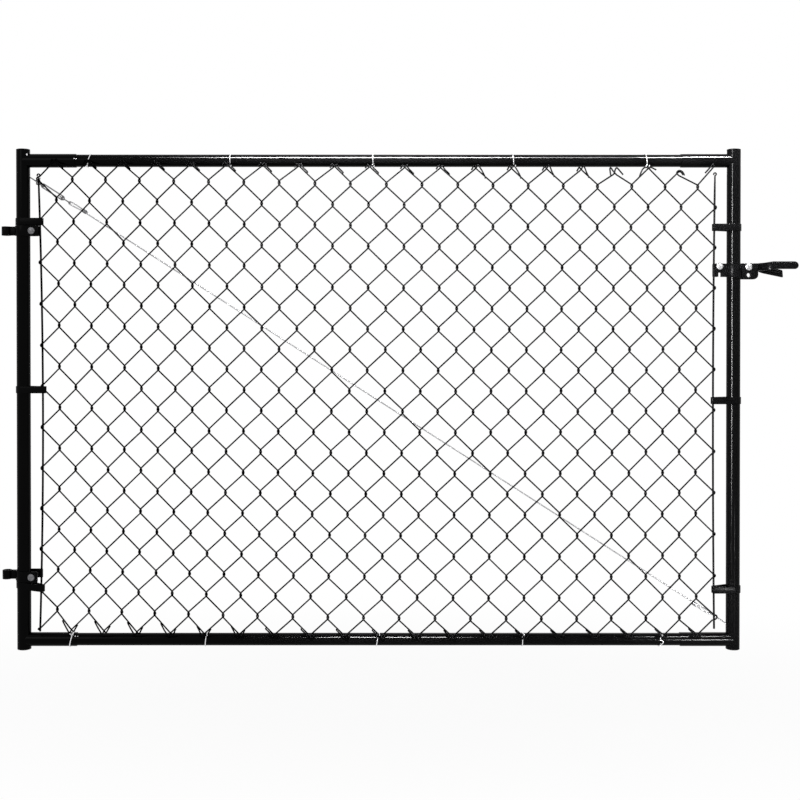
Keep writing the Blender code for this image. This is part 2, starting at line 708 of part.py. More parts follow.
def make_fabric(leaf, black):
    grid, columns, rows = fabric_grid()
    splits = [0] + [round(columns * share) for share in FABRIC_SPLITS] + [columns]
    names = ("fabric_hinge_side", "fabric_middle", "fabric_latch_side")
    for name, first, last in zip(names, splits, splits[1:]):
        mesh = fabric_panel(name, grid, first, last, rows)
        place(name, mesh, black, leaf, smooth=False)
    return grid, columns, rows


def make_ties(leaf, aluminium, grid, columns, rows):
    """Wires bent round the rails beside the edge of the net, open where the net passes."""
    for end, ties, row, rail_z, way in (
        ("top", TOP_TIES, 0, TOP_RAIL_Z, 1),
        ("bottom", BOTTOM_TIES, rows, BOTTOM_RAIL_Z, -1),
    ):
        for number, share in enumerate(ties, 1):
            column = round(share * columns)
            held = (column, row) if (column, row) in grid else (column + 1, row)
            x = grid[held].x + way * TIE_SHIFT
            from_stile = min(x, STILE_SPACING - x)
            around = STUB_RADIUS if from_stile < STUB_REACH + TIE_RADIUS else RAIL_RADIUS
            bend = arc((0, 0), around + SEAT + TIE_RADIUS, 40, 270, 9)
            path = [Vector((0, y, way * z)) for y, z in bend]
            mesh = wire("tie", path, TIE_RADIUS, ALONG, sides=5)
            place(f"tie_{end}_{number}", mesh, aluminium, leaf, (x, 0, rail_z))


def ring_points(centre, radius, first, second, start, end, steps):
    """Points round a circle in the plane of two unit vectors, angles in degrees."""
    points = []
    for k in range(steps + 1):
        angle = math.radians(start + (end - start) * k / steps)
        points.append(centre + radius * (math.cos(angle) * first + math.sin(angle) * second))
    return points


def make_truss(leaf, steel):
    """The cable from the top of the hinge stile to the foot of the latch stile, and its fittings."""
    start = Vector((TRUSS_TOP_X, TRUSS_DEPTH, GATE_HEIGHT - TRUSS_TOP_DROP))
    end = Vector((STILE_SPACING - TRUSS_BOTTOM_X, TRUSS_DEPTH, TRUSS_BOTTOM_RISE))
    line = (end - start).normalized()
    side = BACK.cross(line)
    link = 2 * TRUSS_RING - 2 * TRUSS_WIRE - SEAT

    for name, centre, way in (("hinge", start, -1), ("latch", end, 1)):
        stile_x = 0 if way < 0 else STILE_SPACING
        seat = math.sqrt((STILE_RADIUS + SEAT) ** 2 - TRUSS_DEPTH**2) + TRUSS_WIRE * abs(line.z)
        foot = centre + line * (stile_x - way * seat - centre.x) / line.x
        ring = ring_points(centre, TRUSS_RING, line * way, -BACK, 0, 320, 9)
        mesh = wire("eye", [foot] + ring, TRUSS_WIRE, side)
        place(f"truss_anchor_{name}", mesh, steel, leaf)

    hook_centre = start + line * link
    body_start = start + line * TURNBUCKLE_START
    body_end = body_start + line * TURNBUCKLE_LENGTH
    ring = ring_points(hook_centre, TRUSS_RING, line, side, 0, -320, 9)
    mesh = wire("hook", [body_start - line * SEAT] + ring, TRUSS_WIRE, BACK)
    place("turnbuckle_hook_upper", mesh, steel, leaf)
    eye_centre = body_end + line * TURNBUCKLE_EYE
    ring = ring_points(eye_centre, TRUSS_RING, -line, BACK, 0, 320, 9)
    mesh = wire("hook", [body_end + line * SEAT] + ring, TRUSS_WIRE, side)
    place("turnbuckle_hook_lower", mesh, steel, leaf)

    half_width = TURNBUCKLE_WIDTH / 2
    slot_half = half_width - TURNBUCKLE_BAR
    taper = TURNBUCKLE_COLLAR / 2
    loops = []
    for depth in (-TURNBUCKLE_DEPTH / 2, TURNBUCKLE_DEPTH / 2):
        for inside in (False, True) if depth < 0 else (True, False):
            reach = TURNBUCKLE_LENGTH / 2 - (TURNBUCKLE_COLLAR if inside else 0)
            width = slot_half if inside else half_width
            cut = 0.4 * slot_half if inside else taper
            corners = []
            for sign_s, sign_w in ((1, 1), (-1, 1), (-1, -1), (1, -1)):
                first = (sign_s * (reach - cut), sign_w * width)
                second = (sign_s * reach, sign_w * width * 0.55)
                corners += [second, first] if sign_s * sign_w > 0 else [first, second]
            middle = (body_start + body_end) / 2 + BACK * depth
            loops.append([middle + line * s + side * w for s, w in corners])
    place("turnbuckle_body", loft("body", loops, closed=True), steel, leaf, smooth=False)

    first_bend = eye_centre + line * (TRUSS_RING)
    last_bend = end - line * TRUSS_RING
    grip = CABLE_RADIUS + SEAT / 2
    bend = TRUSS_WIRE + SEAT + CABLE_RADIUS
    path = []
    for bend_point, along in ((first_bend, line), (last_bend, -line)):
        across = side if along == line else -side
        belly = CABLE_LOOP_WIDTH / 2 - CABLE_RADIUS
        loop_end = bend_point + along * CABLE_LOOP
        dead_end = loop_end + along * (CLAMP_LENGTH + CABLE_END) - across * 2 * grip
        leg = [dead_end, loop_end - across * 2 * grip, bend_point + along * CABLE_LOOP / 2 - across * belly]
        turn = ring_points(bend_point, bend, -along, across, -70, 70, 4)
        leg += turn + [bend_point + along * CABLE_LOOP / 2 + across * belly * 0.6, loop_end]
        path += leg if along == line else list(reversed(leg))
    mesh = wire("cable", path, CABLE_RADIUS, BACK)
    place("truss_cable", mesh, steel, leaf)

    for level, bend_point, along in (("upper", first_bend, line), ("lower", last_bend, -line)):
        across = side if along == line else -side
        clamp_start = bend_point + along * (CABLE_LOOP + CLAMP_GAP)
        middle = clamp_start - across * grip
        loops = []
        for wall, reach in ((CLAMP_WALL, 0), (CLAMP_WALL, CLAMP_LENGTH), (0, CLAMP_LENGTH), (0, 0)):
            wide = 2 * grip + wall + SEAT
            deep = CABLE_RADIUS + wall + SEAT
            loop = []
            for w, d in CLAMP_CORNERS:
                loop.append(middle + along * reach + across * wide * w + BACK * deep * d)
            loops.append(loop)
        place(f"truss_clamp_{level}", loft("clamp", loops, closed=True), steel, leaf)


def main():
    clear_scene()
    black = material("black coating", (0.012, 0.012, 0.013), 0.38, 0.0)
    plastic = material("black plastic", (0.018, 0.018, 0.018), 0.5, 0.0)
    steel = material("zinc plated steel", (0.55, 0.55, 0.56), 0.35, 1.0)
    aluminium = material("aluminium wire", (0.75, 0.75, 0.76), 0.35, 1.0)
    leaf = bpy.data.objects.new("leaf", None)
    bpy.context.scene.collection.objects.link(leaf)
    leaf.location = (HINGE_REACH + EYE_RADIUS, 0, EYE_HEIGHT / 2 - HINGE_RISE)
    make_stiles(leaf, black, plastic)
    make_rails(leaf, black)
    make_tension_bars(leaf, black)
    make_bands(leaf, black)
    make_hinges(leaf, black, steel)
    make_latch_collar(leaf, black, steel)
    make_latch_fork(leaf, black)
    grid, columns, rows = make_fabric(leaf, black)
    make_ties(leaf, aluminium, grid, columns, rows)
    make_truss(leaf, steel)


main()
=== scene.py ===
"""The chain link walk gate as the photograph shows it, built round its CAD frame.

Metres, +Z up, +X from the hinges to the latch, and the side that carries the fabric faces -Y.
Heights that come from the gate's own drawing are measured from the foot of the stiles.
"""

import random
from math import acos, asin, atan2, copysign, cos, degrees, exp, hypot, pi, radians, sin, sqrt, tau

import bmesh
import bpy
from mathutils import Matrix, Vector


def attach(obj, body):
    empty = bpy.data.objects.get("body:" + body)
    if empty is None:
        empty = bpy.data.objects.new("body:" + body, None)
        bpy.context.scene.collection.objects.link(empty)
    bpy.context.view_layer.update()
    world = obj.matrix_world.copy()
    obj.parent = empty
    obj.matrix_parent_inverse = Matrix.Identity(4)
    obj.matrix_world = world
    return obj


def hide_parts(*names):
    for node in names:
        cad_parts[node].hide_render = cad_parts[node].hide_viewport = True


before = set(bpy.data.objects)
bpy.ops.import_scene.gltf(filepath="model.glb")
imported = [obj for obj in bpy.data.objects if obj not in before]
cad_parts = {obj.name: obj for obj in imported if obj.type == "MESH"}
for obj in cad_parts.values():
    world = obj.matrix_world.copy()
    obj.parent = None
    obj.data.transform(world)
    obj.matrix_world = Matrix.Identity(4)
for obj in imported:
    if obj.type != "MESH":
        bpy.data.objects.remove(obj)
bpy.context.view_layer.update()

LEAF = "gate_leaf"
FORK = "fork"
ALONG = Vector((1, 0, 0))
BACK = Vector((0, 1, 0))
UP = Vector((0, 0, 1))

# Frame
FOOT = Vector((0.0511, 0, -0.1705))
GATE_HEIGHT = 1.219
STILE_SPACING = 1.736
TUBE_RADIUS = 0.0167
TUBE_WALL = 0.0016
STUB_WALL = 0.0013
STUB_REACH = 0.130
RAIL_RADIUS = 0.0151
TOP_RAIL_Z = 1.193
BOTTOM_RAIL_Z = 0.022
RAIL_DEPTH = 0.05
SCREW_INSET = 0.014
SEAT = 0.0003
TUBE_SIDES = 64

# Each stile with its place and the way to the middle; each rail with its height and the way out
SIDES = (("hinge", 0, 1), ("latch", STILE_SPACING, -1))
RAILS = (("top", TOP_RAIL_Z, 1), ("bottom", BOTTOM_RAIL_Z, -1))

# Tension rods and the curve that each follows: offset at the gate's head and foot, and the bow
ROD_RADIUS = 0.0022
ROD_COAT = 0.0003
ROD_Y = -0.0116
RODS = {"hinge": (0.0382, 0.0406, 0.0108), "latch": (0.0480, 0.0479, 0.0046)}
ROD_TOP = {"hinge": 1.1528, "latch": 1.1555}
ROD_FOOT = {"hinge": 0.0440, "latch": 0.0505}

# Fabric
WIRE_RADIUS = 0.00187
COLUMNS = 39
ROWS = 23
FABRIC_TOP = 1.185
FABRIC_BOTTOM = 0.0265
EDGE_Y = -0.0202

# Half the height of a crossing, the pull of its bends, and how far it stands before the middle
CROSSING = 0.0049
BEND = 0.0034
LAY = 0.00192

# The last crossings of the top edge, which were pulled out of line: column, and x and z
BENT_HUBS = {
    COLUMNS - 6: (1.4414, 1.1605),
    COLUMNS - 4: (1.5235, 1.1721),
    COLUMNS - 2: (1.5923, 1.1588),
    COLUMNS: (1.6809, 1.1746),
}

# How much wider the last bend round the latch side's rod is
LAST_BEND = 1.7

# Back ends are long and hooked from this column on the top edge, and up to this one on the lower
HOOKED_FROM = 25
HOOKED_TO = 13

# Ends of pickets from where two strands cross: millimetres out along the edge, millimetres back
# into the net, and how far forward in shares of LAY
SHORT_LEG = [(-4.0, 4.4, -1), (0, 0, -1), (3.0, -3.3, -1), (4.9, -4.5, -0.8)]
SHORT_LEG += [(6.5, -3.0, -0.5), (9.0, 1.6, -0.3), (10.6, 4.4, -0.3)]
CLOSE_LEG = [(4.2, 4.0, 1), (0, 0, 1), (-2.3, -3.8, 1), (-4.4, -5.0, 0.9)]
CLOSE_LEG += [(-6.0, -3.0, 0.6), (-7.6, 0.6, 0.2), (-10.4, 4.6, -0.2), (-14.4, 8.6, -0.4)]
CLOSE_LEG += [(-18.6, 12.6, -0.5), (-21.0, 15.6, -0.6), (-20.4, 17.2, -0.7)]

# The usual front leg (True) and back leg (False); past STRETCHED their length varies
STRETCHED = 12
LEGS = {
    True: SHORT_LEG[:6] + [(12.2, 7.0, -0.3), (14.9, 11.4, -0.5)],
    False: CLOSE_LEG[:3]
    + [(-4.0, -7.2, 0.9), (-5.6, -8.2, 0.6), (-7.3, -6.6, 0.3), (-9.4, -2.8, 0)]
    + [(-14.6, 7.4, -0.3), (-20.2, 18.6, -0.5), (-20.9, 21.2, -0.6), (-19.2, 21.6, -0.7)],
}

# Ends bent by hand: the last ones of the top edge, and the first of the lower edge
BENT_KNUCKLES = {
    (COLUMNS, False): [(4.2, 5.2, 1), (0, 0, 0.6), (-1.6, -3.2, 0), (-0.6, -6.0, -0.6)]
    + [(3.0, -6.0, -1), (6.8, -1.6, -1), (13.5, 6.5, -1), (20.5, 14.2, -1)],
}
for key, flat in {
    (COLUMNS - 6, True): ((-4.0, 4.4), (0, 0), (5.0, -6.0), (8.6, -11.4))
    + ((10.8, -12.6), (12.0, -9.4), (11.2, -2.6), (10.0, 5.6)),
    (COLUMNS - 6, False): ((4.2, 4.0), (0.8, 0.4), (-1.0, -6.0), (-3.0, -11.2))
    + ((-6.0, -12.8), (-9.5, -9.5), (-15.0, -3.0), (-21.0, 3.9)),
    (COLUMNS - 4, True): ((-4.0, 4.4), (0, 0), (5.0, -2.0), (11.0, -0.8))
    + ((15.2, 3.4), (19.2, 12.0), (22.6, 21.6)),
    (COLUMNS - 4, False): ((4.2, 4.0), (0, 0), (-3.2, -2.2), (-8.4, -1.8))
    + ((-14.0, 1.0), (-19.2, 3.9)),
    (COLUMNS - 2, True): ((-4.0, 4.4), (0, 0), (0.4, -3.2), (-2.2, -6.4))
    + ((-6.2, -7.8), (-11.0, -6.2), (-15.0, -2.2), (-18.2, 4.4)),
    (COLUMNS - 2, False): ((4.2, 4.0), (0, 0), (-2.6, -3.0), (-6.2, -5.0))
    + ((-10.4, -4.2), (-13.6, -0.8), (-15.4, 3.0)),
}.items():
    BENT_KNUCKLES[key] = [(x, z, -1 if key[1] else 1) for x, z in flat]
BENT_CORNER = [(4.2, 4.0, -1), (0, 0, -1), (-2.6, -2.6, -1)]
BENT_CORNER += [(-4.4, -2.2, -0.8), (-3.8, -0.4, -0.2), (-1.6, 0.2, 0.8)]

# Ties: the place of each along its rail and its lean, and where the last lower one is bent
TIE_RADIUS = 0.0012
TIES = {
    "top": ((0.1630, 0.0045), (0.5073, 0), (0.8543, -0.0004), (1.1962, -0.0014), (1.5206, -0.0018)),
    "bottom": ((0.1175, 0.0045), (0.4463, 0.0020), (0.8653, 0.0030), (1.2196, 0), (1.5552, 0.0005)),
}
BENT_TIES = {"tie_bottom_5": ((1.0, 0.0060), (0.25, 0.0004), (-0.2, 0.0075), (-1.0, -0.0015))}

# Painted highlights: bright metal flecks where glints fall on the top weld and the hinge side's
# stub ends; x and height on the tube, size, and the tube's radius and height
PAINTED_GLINTS = {
    "weld": (0.0122, 0.0135, 0.0026, TUBE_RADIUS, TOP_RAIL_Z),
    "stub": (0.1283, 0.0034, 0.0016, TUBE_RADIUS, TOP_RAIL_Z),
    "rail": (0.1322, 0.0026, 0.0013, RAIL_RADIUS, TOP_RAIL_Z),
    "low_stub": (0.1284, 0.0106, 0.0014, TUBE_RADIUS, BOTTOM_RAIL_Z),
    "low_rail": (0.1336, 0.0098, 0.0011, RAIL_RADIUS, BOTTOM_RAIL_Z),
}

# Bands: their heights from the top down, and how far their hooks reach past the rod
BANDS = {"hinge": ((1.0439, 0.634, 0.1555), 0.0066), "latch": ((1.0297, 0.6075, 0.146), 0.0034)}
LOW_BAND_SLOPE = 0.125

# Hinges: height, sag of the front flange, what it lacks of the rod, reach of the back flange, bolt
HINGES = {
    "top": (GATE_HEIGHT - 0.1977, 0.0, 0.0, 0.0388, 0.0238),
    "bottom": (0.1815, 0.0050, 0.0060, 0.0421, 0.0213),
}

# Latch: the collar's plates from the stile's axis, their small corner, and the fork's pivot
PLATE_REACH = 0.0593
PLATE_CORNER = 0.005
PIVOT_REACH = 0.0357
PIVOT_DROP = 0.0082

# Truss: half the turnbuckle's body, the lay of the cable's strands, and the sleeves
BODY_HALF = 0.034
STRAND_LAY = 0.026
CLAMP_LENGTH = 0.011
CLAMP_WALL = 0.0010

# The four corners of a rounded outline: across, along, and the angle where each begins
CORNERS = ((1, 1, 0), (-1, 1, 90), (-1, -1, 180), (1, -1, 270))

# Studio
CAMERA = Vector((0.9351, -3.0, 0.6214))
PIXELS_WIDE = 800
FOCAL_PIXELS = 1226.5
FLOOR_MIDDLE = (0.95, 0, -0.27)
LAMP_DISTANCE = 2.5
GRID_OPENING = 14.0


def smoothstep(value):
    value = min(max(value, 0.0), 1.0)
    return value * value * (3 - 2 * value)


# ---- Materials

def node_kit(material):
    """Short ways to add nodes to a material and to join them."""
    nodes = material.node_tree.nodes
    links = material.node_tree.links

    def add(kind, inputs=None, **settings):
        node = nodes.new("ShaderNode" + kind)
        for key, value in settings.items():
            setattr(node, key, value)
        for key, value in (inputs or {}).items():
            if isinstance(value, bpy.types.NodeSocket):
                links.new(value, node.inputs[key])
            else:
                node.inputs[key].default_value = value
        return node

    return add, links


def noise(add, where, scale, detail, roughness):
    settings = {"Vector": where, "Scale": scale, "Detail": detail, "Roughness": roughness}
    return add("TexNoise", settings).outputs["Fac"]


def spread(add, value, low, high, start=0.3, end=0.7):
    """Maps a noise to a range of numbers."""
    settings = {"Value": value, "From Min": start, "From Max": end, "To Min": low, "To Max": high}
    return add("MapRange", settings).outputs["Result"]


def blend_tones(add, factor, dark, light):
    """Blends two tones, each given as its grey and its blue."""
    inputs = {"A": (dark[0], *dark, 1), "B": (light[0], *light, 1)}
    mix = add("Mix", inputs, data_type="RGBA")
    mix.id_data.links.new(factor, mix.inputs["Factor"])
    return mix.outputs["Result"]


def new_finish(name, metallic):
    """A material and its shader, with short ways to add nodes in the object's own metres."""
    material = bpy.data.materials.new(name)
    material.use_nodes = True
    add, links = node_kit(material)
    shader = material.node_tree.nodes["Principled BSDF"]
    shader.inputs["Metallic"].default_value = metallic
    return material, shader, add, links, add("TexCoord").outputs["Object"]


def add_relief(add, links, shader, where, grain, strength, depth):
    height = noise(add, where, grain, 2.0, 0.5)
    bump = add("Bump", {"Height": height, "Strength": strength, "Distance": depth})
    links.new(bump.outputs["Normal"], shader.inputs["Normal"])


def surface(name, dark, light, roughness, specular, patch, grain, bump, metallic=0):
    """A finish with cloudy colour, from a dark to a light tone, uneven gloss and a fine relief."""
    material, shader, add, links, where = new_finish(name, metallic)
    shader.inputs["Specular IOR Level"].default_value = specular
    clouds = spread(add, noise(add, where, patch, 4.0, 0.6), 0.0, 1.0)
    links.new(blend_tones(add, clouds, dark, light), shader.inputs["Base Color"])
    gloss = noise(add, where, patch * 5, 3.0, 0.55)
    links.new(spread(add, gloss, *roughness), shader.inputs["Roughness"])
    add_relief(add, links, shader, where, grain, bump, 0.0004)
    return material


def spangled(name, dark, light, roughness, scale):
    """Zinc plating: small crystals that differ in tone, with a brushed sheen."""
    material, shader, add, links, where = new_finish(name, 1.0)
    cells = add("TexVoronoi", {"Vector": where, "Scale": scale}).outputs["Color"]
    tone = add("SeparateColor", {"Color": cells}).outputs["Red"]
    clouds = noise(add, where, scale * 0.2, 4.0, 0.6)
    joined = add("Math", {0: tone, 1: clouds}, operation="MULTIPLY").outputs["Value"]
    tone = spread(add, joined, 0.0, 1.0, 0.1, 0.6)
    links.new(blend_tones(add, tone, dark, light), shader.inputs["Base Color"])
    links.new(spread(add, clouds, *roughness), shader.inputs["Roughness"])
    add_relief(add, links, shader, where, scale * 4, 0.12, 0.0003)
    return material


TUBE_TONES = ((0.0008, 0.0009), (0.0018, 0.0019))
WIRE_TONES = ((0.0035, 0.0037), (0.0065, 0.0068))
FITTING_TONES = ((0.0011, 0.0012), (0.0026, 0.0028))
PLUG_TONES = ((0.0035, 0.0035), (0.0060, 0.0060))
ALUMINIUM_TONES = ((0.66, 0.67), (0.86, 0.87))

TUBE_BLACK = surface("rail_coating", *TUBE_TONES, (0.10, 0.16), 0.035, 9, 420, 0.008)
STILE_BLACK = surface("stile_coating", *TUBE_TONES, (0.12, 0.18), 0.035, 9, 170, 0.14)
WIRE_BLACK = surface("wire_coating", *WIRE_TONES, (0.32, 0.46), 0.006, 30, 900, 0.15)
PRESSED_BLACK = surface("fitting_coating", *FITTING_TONES, (0.22, 0.34), 0.035, 40, 800, 0.12)
WELD_BLACK = surface("weld_coating", *FITTING_TONES, (0.24, 0.38), 0.04, 120, 500, 0.4)
PLUG_BLACK = surface("plug_plastic", *PLUG_TONES, (0.45, 0.62), 0.05, 60, 1800, 0.35)
ZINC = spangled("zinc_plate", (0.40, 0.41), (0.66, 0.67), (0.24, 0.42), 420)
TRUSS_ZINC = spangled("truss_zinc_plate", (0.16, 0.165), (0.42, 0.43), (0.28, 0.48), 420)
DULL_ZINC = spangled("dull_zinc_plate", (0.12, 0.125), (0.24, 0.25), (0.35, 0.55), 420)
CABLE_ZINC = spangled("cable_zinc", (0.34, 0.35), (0.60, 0.61), (0.30, 0.48), 700)
ALUMINIUM = surface("drawn_aluminium", *ALUMINIUM_TONES, (0.24, 0.40), 0.5, 90, 1400, 0.12, 1)


# ---- Building

def add_object(name, data):
    obj = bpy.data.objects.new(name, data)
    bpy.context.scene.collection.objects.link(obj)
    return obj


class Shape:
    """Points and faces of one piece, gathered ring by ring."""

    def __init__(self):
        self.points = []
        self.faces = []

    def skin(self, rings, loop=False):
        """Joins rings of equal length; fills both ends, or joins the last to the first."""
        start = len(self.points)
        count = len(rings[0])
        total = len(rings)
        for ring in rings:
            self.points.extend(tuple(point) for point in ring)
        for number in range(total if loop else total - 1):
            near = start + number * count
            far = start + (number + 1) % total * count
            for k in range(count):
                after = (k + 1) % count
                self.faces.append((near + k, near + after, far + after, far + k))
        if not loop:
            self.faces.append(tuple(range(start, start + count)))
            self.faces.append(tuple(range(start + (total - 1) * count, start + total * count)))
        return self

    def build(self, name, material, crease=40):
        bm = bmesh.new()
        verts = [bm.verts.new(point) for point in self.points]
        for face in self.faces:
            bm.faces.new([verts[k] for k in face])
        bmesh.ops.recalc_face_normals(bm, faces=bm.faces)
        mesh = bpy.data.meshes.new(name)
        bm.to_mesh(mesh)
        bm.free()
        mesh.shade_smooth()
        mesh.set_sharp_from_angle(angle=radians(crease))
        mesh.materials.append(material)
        return add_object(name, mesh)


def settle(obj, nodes=(), body=LEAF):
    """Lets a piece ride on its body and stand for its CAD nodes, which it hides."""
    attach(obj, body)
    if nodes:
        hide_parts(*nodes)


def stand_in(shape, node, ending, material, crease=40, body=LEAF):
    """Builds the piece that replaces a CAD node and is named after it."""
    settle(shape.build(f"{node}_{ending}", material, crease), [node], body)


def full_turn(sides):
    return [tau * k / sides for k in range(sides)]


def sweep(path, radius, sides, closed=False, first=None, shape=None):
    """A bar along a path; the radius is a number, or a function of the ring and the angle."""
    points = [Vector(point) for point in path]
    last = len(points) - 1
    normal = first
    rings = []
    for number, point in enumerate(points):
        before = points[number - 1] if number or closed else point
        after = points[(number + 1) % (last + 1)] if number < last or closed else point
        tangent = (after - before).normalized()
        if normal is None:
            normal = BACK if abs(tangent.y) < 0.8 else ALONG
        normal = (normal - tangent * normal.dot(tangent)).normalized()
        side = tangent.cross(normal)
        ring = []
        for angle in full_turn(sides):
            reach = radius(number, angle) if callable(radius) else radius
            ring.append(point + reach * (cos(angle) * normal + sin(angle) * side))
        rings.append(ring)
    return (shape or Shape()).skin(rings, closed)


def lathe(profile, origin, axis, sides, loop=False, reach=None, shape=None):
    """Turns a profile of (radius, height) about an axis; reach may change the radius round it."""
    axis = Vector(axis).normalized()
    across = UP if abs(axis.z) < 0.5 else ALONG
    across = (across - axis * across.dot(axis)).normalized()
    third = axis.cross(across)
    rings = []
    for radius, height in profile:
        ring = []
        for angle in full_turn(sides):
            out = reach(radius, height, angle) if reach else radius
            spoke = cos(angle) * across + sin(angle) * third
            ring.append(Vector(origin) + axis * height + out * spoke)
        rings.append(ring)
    return (shape or Shape()).skin(rings, loop)


def part_turn(start, end, steps):
    """The angles between two that are given in degrees."""
    return [radians(start + (end - start) * k / steps) for k in range(steps + 1)]


def arc(centre, radius, start, end, steps):
    x, y = centre
    turns = part_turn(start, end, steps)
    return [(x + radius * cos(turn), y + radius * sin(turn)) for turn in turns]


def circle_points(centre, radius, first, second, start, end, steps):
    turns = part_turn(start, end, steps)
    return [centre + radius * (cos(turn) * first + sin(turn) * second) for turn in turns]


def strap_ring(point, normal, half, low, high, edge):
    """A cross-section of a strap with rounded edges."""
    ring = []
    for side, level, start in CORNERS:
        middle = high - edge if level > 0 else low + edge
        for turn in (0, 45, 90):
            angle = radians(start + turn)
            out = side * (half - edge) + edge * cos(angle)
            ring.append(point + normal * out + UP * (middle + edge * sin(angle)))
    return ring


def strap(stations, thickness, edge, origin=(0, 0, 0), flip=1):
    """A pressed strap along a plan path of (x, y, low, high), bevelled all round."""
    plan = [Vector((flip * x, y, 0)) for x, y, _, _ in stations]
    last = len(plan) - 1
    half = thickness / 2
    trim = edge * 0.6
    rings = []
    for number, point in enumerate(plan):
        before = (point - plan[number - 1]).normalized() if number else None
        after = (plan[number + 1] - point).normalized() if number < last else None
        direction = ((before or after) + (after or before)).normalized()
        normal = Vector((-direction.y, direction.x, 0))
        if before and after:
            normal /= max(direction.dot(after), 0.6)
        low, high = stations[number][2:]
        base = Vector(origin) + point
        if number in (0, last):
            inward = direction * edge * (1 if number == 0 else -1)
            full = strap_ring(base + inward, normal, half, low, high, edge)
            small = strap_ring(base, normal, half - trim, low + trim, high - trim, trim)
            rings += [small, full] if number == 0 else [full, small]
        else:
            rings.append(strap_ring(base, normal, half, low, high, edge))
    return Shape().skin(rings)


def cut(obj, tools):
    """Cuts solids out of a piece and keeps the result as its mesh."""
    for tool in tools:
        modifier = obj.modifiers.new("cut", "BOOLEAN")
        modifier.operation = "DIFFERENCE"
        modifier.solver = "EXACT"
        modifier.object = tool
    bpy.context.view_layer.update()
    graph = bpy.context.evaluated_depsgraph_get()
    mesh = bpy.data.meshes.new_from_object(obj.evaluated_get(graph))
    obj.modifiers.clear()
    obj.data = mesh
    for tool in tools:
        bpy.data.objects.remove(tool)


def from_foot(x, y, z):
    return FOOT + Vector((x, y, z))


def rod_offset(side, z):
    """Distance of a tension rod from its stile's axis at height z over the foot."""
    top, bottom, bow = RODS[side]
    down = min(max(1 - z / GATE_HEIGHT, 0), 1)
    return top + (bottom - top) * down + 4 * bow * down * (1 - down)


# ---- Frame

def build_stiles():
    """The upright tubes and the domed plugs in their ends."""
    inner = TUBE_RADIUS - TUBE_WALL
    tube = [
        (TUBE_RADIUS - 0.0004, 0), (TUBE_RADIUS, 0.0004), (TUBE_RADIUS, GATE_HEIGHT - 0.0004),
        (TUBE_RADIUS - 0.0004, GATE_HEIGHT), (inner, GATE_HEIGHT), (inner, 0),
    ]
    plug = [
        (inner - 0.0030, -0.012), (inner - SEAT, -0.0095), (inner - SEAT, SEAT),
        (TUBE_RADIUS - 0.0002, SEAT), (TUBE_RADIUS, SEAT + 0.0003), (TUBE_RADIUS, SEAT + 0.0008),
        (TUBE_RADIUS - 0.0005, SEAT + 0.0013), (TUBE_RADIUS * 0.86, SEAT + 0.0019),
        (TUBE_RADIUS * 0.62, SEAT + 0.0024), (TUBE_RADIUS * 0.30, SEAT + 0.0026),
        (TUBE_RADIUS * 0.05, SEAT + 0.0026),
    ]
    for side, x, _ in SIDES:
        shape = lathe(tube, from_foot(x, 0, 0), UP, TUBE_SIDES, loop=True)
        stand_in(shape, f"{side}_stile", "tube", STILE_BLACK)
        for end, z, way in (("top", GATE_HEIGHT, 1), ("bottom", 0, -1)):
            shape = lathe(plug, from_foot(x, 0, z), UP * way, TUBE_SIDES)
            stand_in(shape, f"{side}_stile_cap_{end}", "plug", PLUG_BLACK)


def saddle(angle, radius, extra):
    """The point of a stub's surface where it meets the stile, from the stile's axis."""
    y = radius * cos(angle)
    return Vector((sqrt(max(TUBE_RADIUS**2 - y * y, 0)) + extra, y, radius * sin(angle)))


def build_rails():
    """The stubs, cut to fit the stiles, with their welds, and the rails that slide into them."""
    inner = TUBE_RADIUS - STUB_WALL
    start = STUB_REACH - RAIL_DEPTH
    stub = (
        (TUBE_RADIUS, None), (TUBE_RADIUS, STUB_REACH - 0.0005),
        (TUBE_RADIUS - 0.0005, STUB_REACH), (inner + 0.0003, STUB_REACH),
        (inner, STUB_REACH - 0.0004), (inner, start), (inner, None),
    )
    rail = [(RAIL_RADIUS, start), (RAIL_RADIUS, STILE_SPACING - start)]
    for end, z, _ in RAILS:
        for side, x, way in SIDES:
            base = from_foot(x, 0, z)
            rings = []
            for radius, reach in stub:
                ring = []
                for angle in full_turn(TUBE_SIDES):
                    point = saddle(angle, radius, 0.0004)
                    if reach:
                        point.x = reach
                    ring.append(base + Vector((way * point.x, point.y, point.z)))
                rings.append(ring)
            shape = Shape().skin(rings, loop=True)
            stand_in(shape, f"{side}_stub_{end}", "arm", TUBE_BLACK)
            build_weld(f"{side}_stub_{end}_weld", base, way)
        shape = lathe(rail, from_foot(0, 0, z), ALONG, TUBE_SIDES)
        stand_in(shape, f"{end}_rail", "tube", TUBE_BLACK)


def build_weld(name, base, way):
    """A rippled fillet where a stub meets its stile."""
    draw = random.Random(name)
    steps = 220
    steps_a_ripple = 5.5
    wider = 1 + 0.0004 / TUBE_RADIUS
    path = []
    for angle in full_turn(steps):
        point = saddle(angle, TUBE_RADIUS, 0.0006)
        path.append(base + Vector((way * point.x, point.y * wider, point.z * wider)))
    uneven = [draw.uniform(-0.00018, 0.00018) for _ in range(steps)]

    def bead(number, _):
        return 0.0025 + 0.0003 * cos(tau * number / steps_a_ripple) + uneven[number]

    shape = sweep(path, bead, 10, closed=True, first=UP)
    settle(shape.build(name, WELD_BLACK, 60))


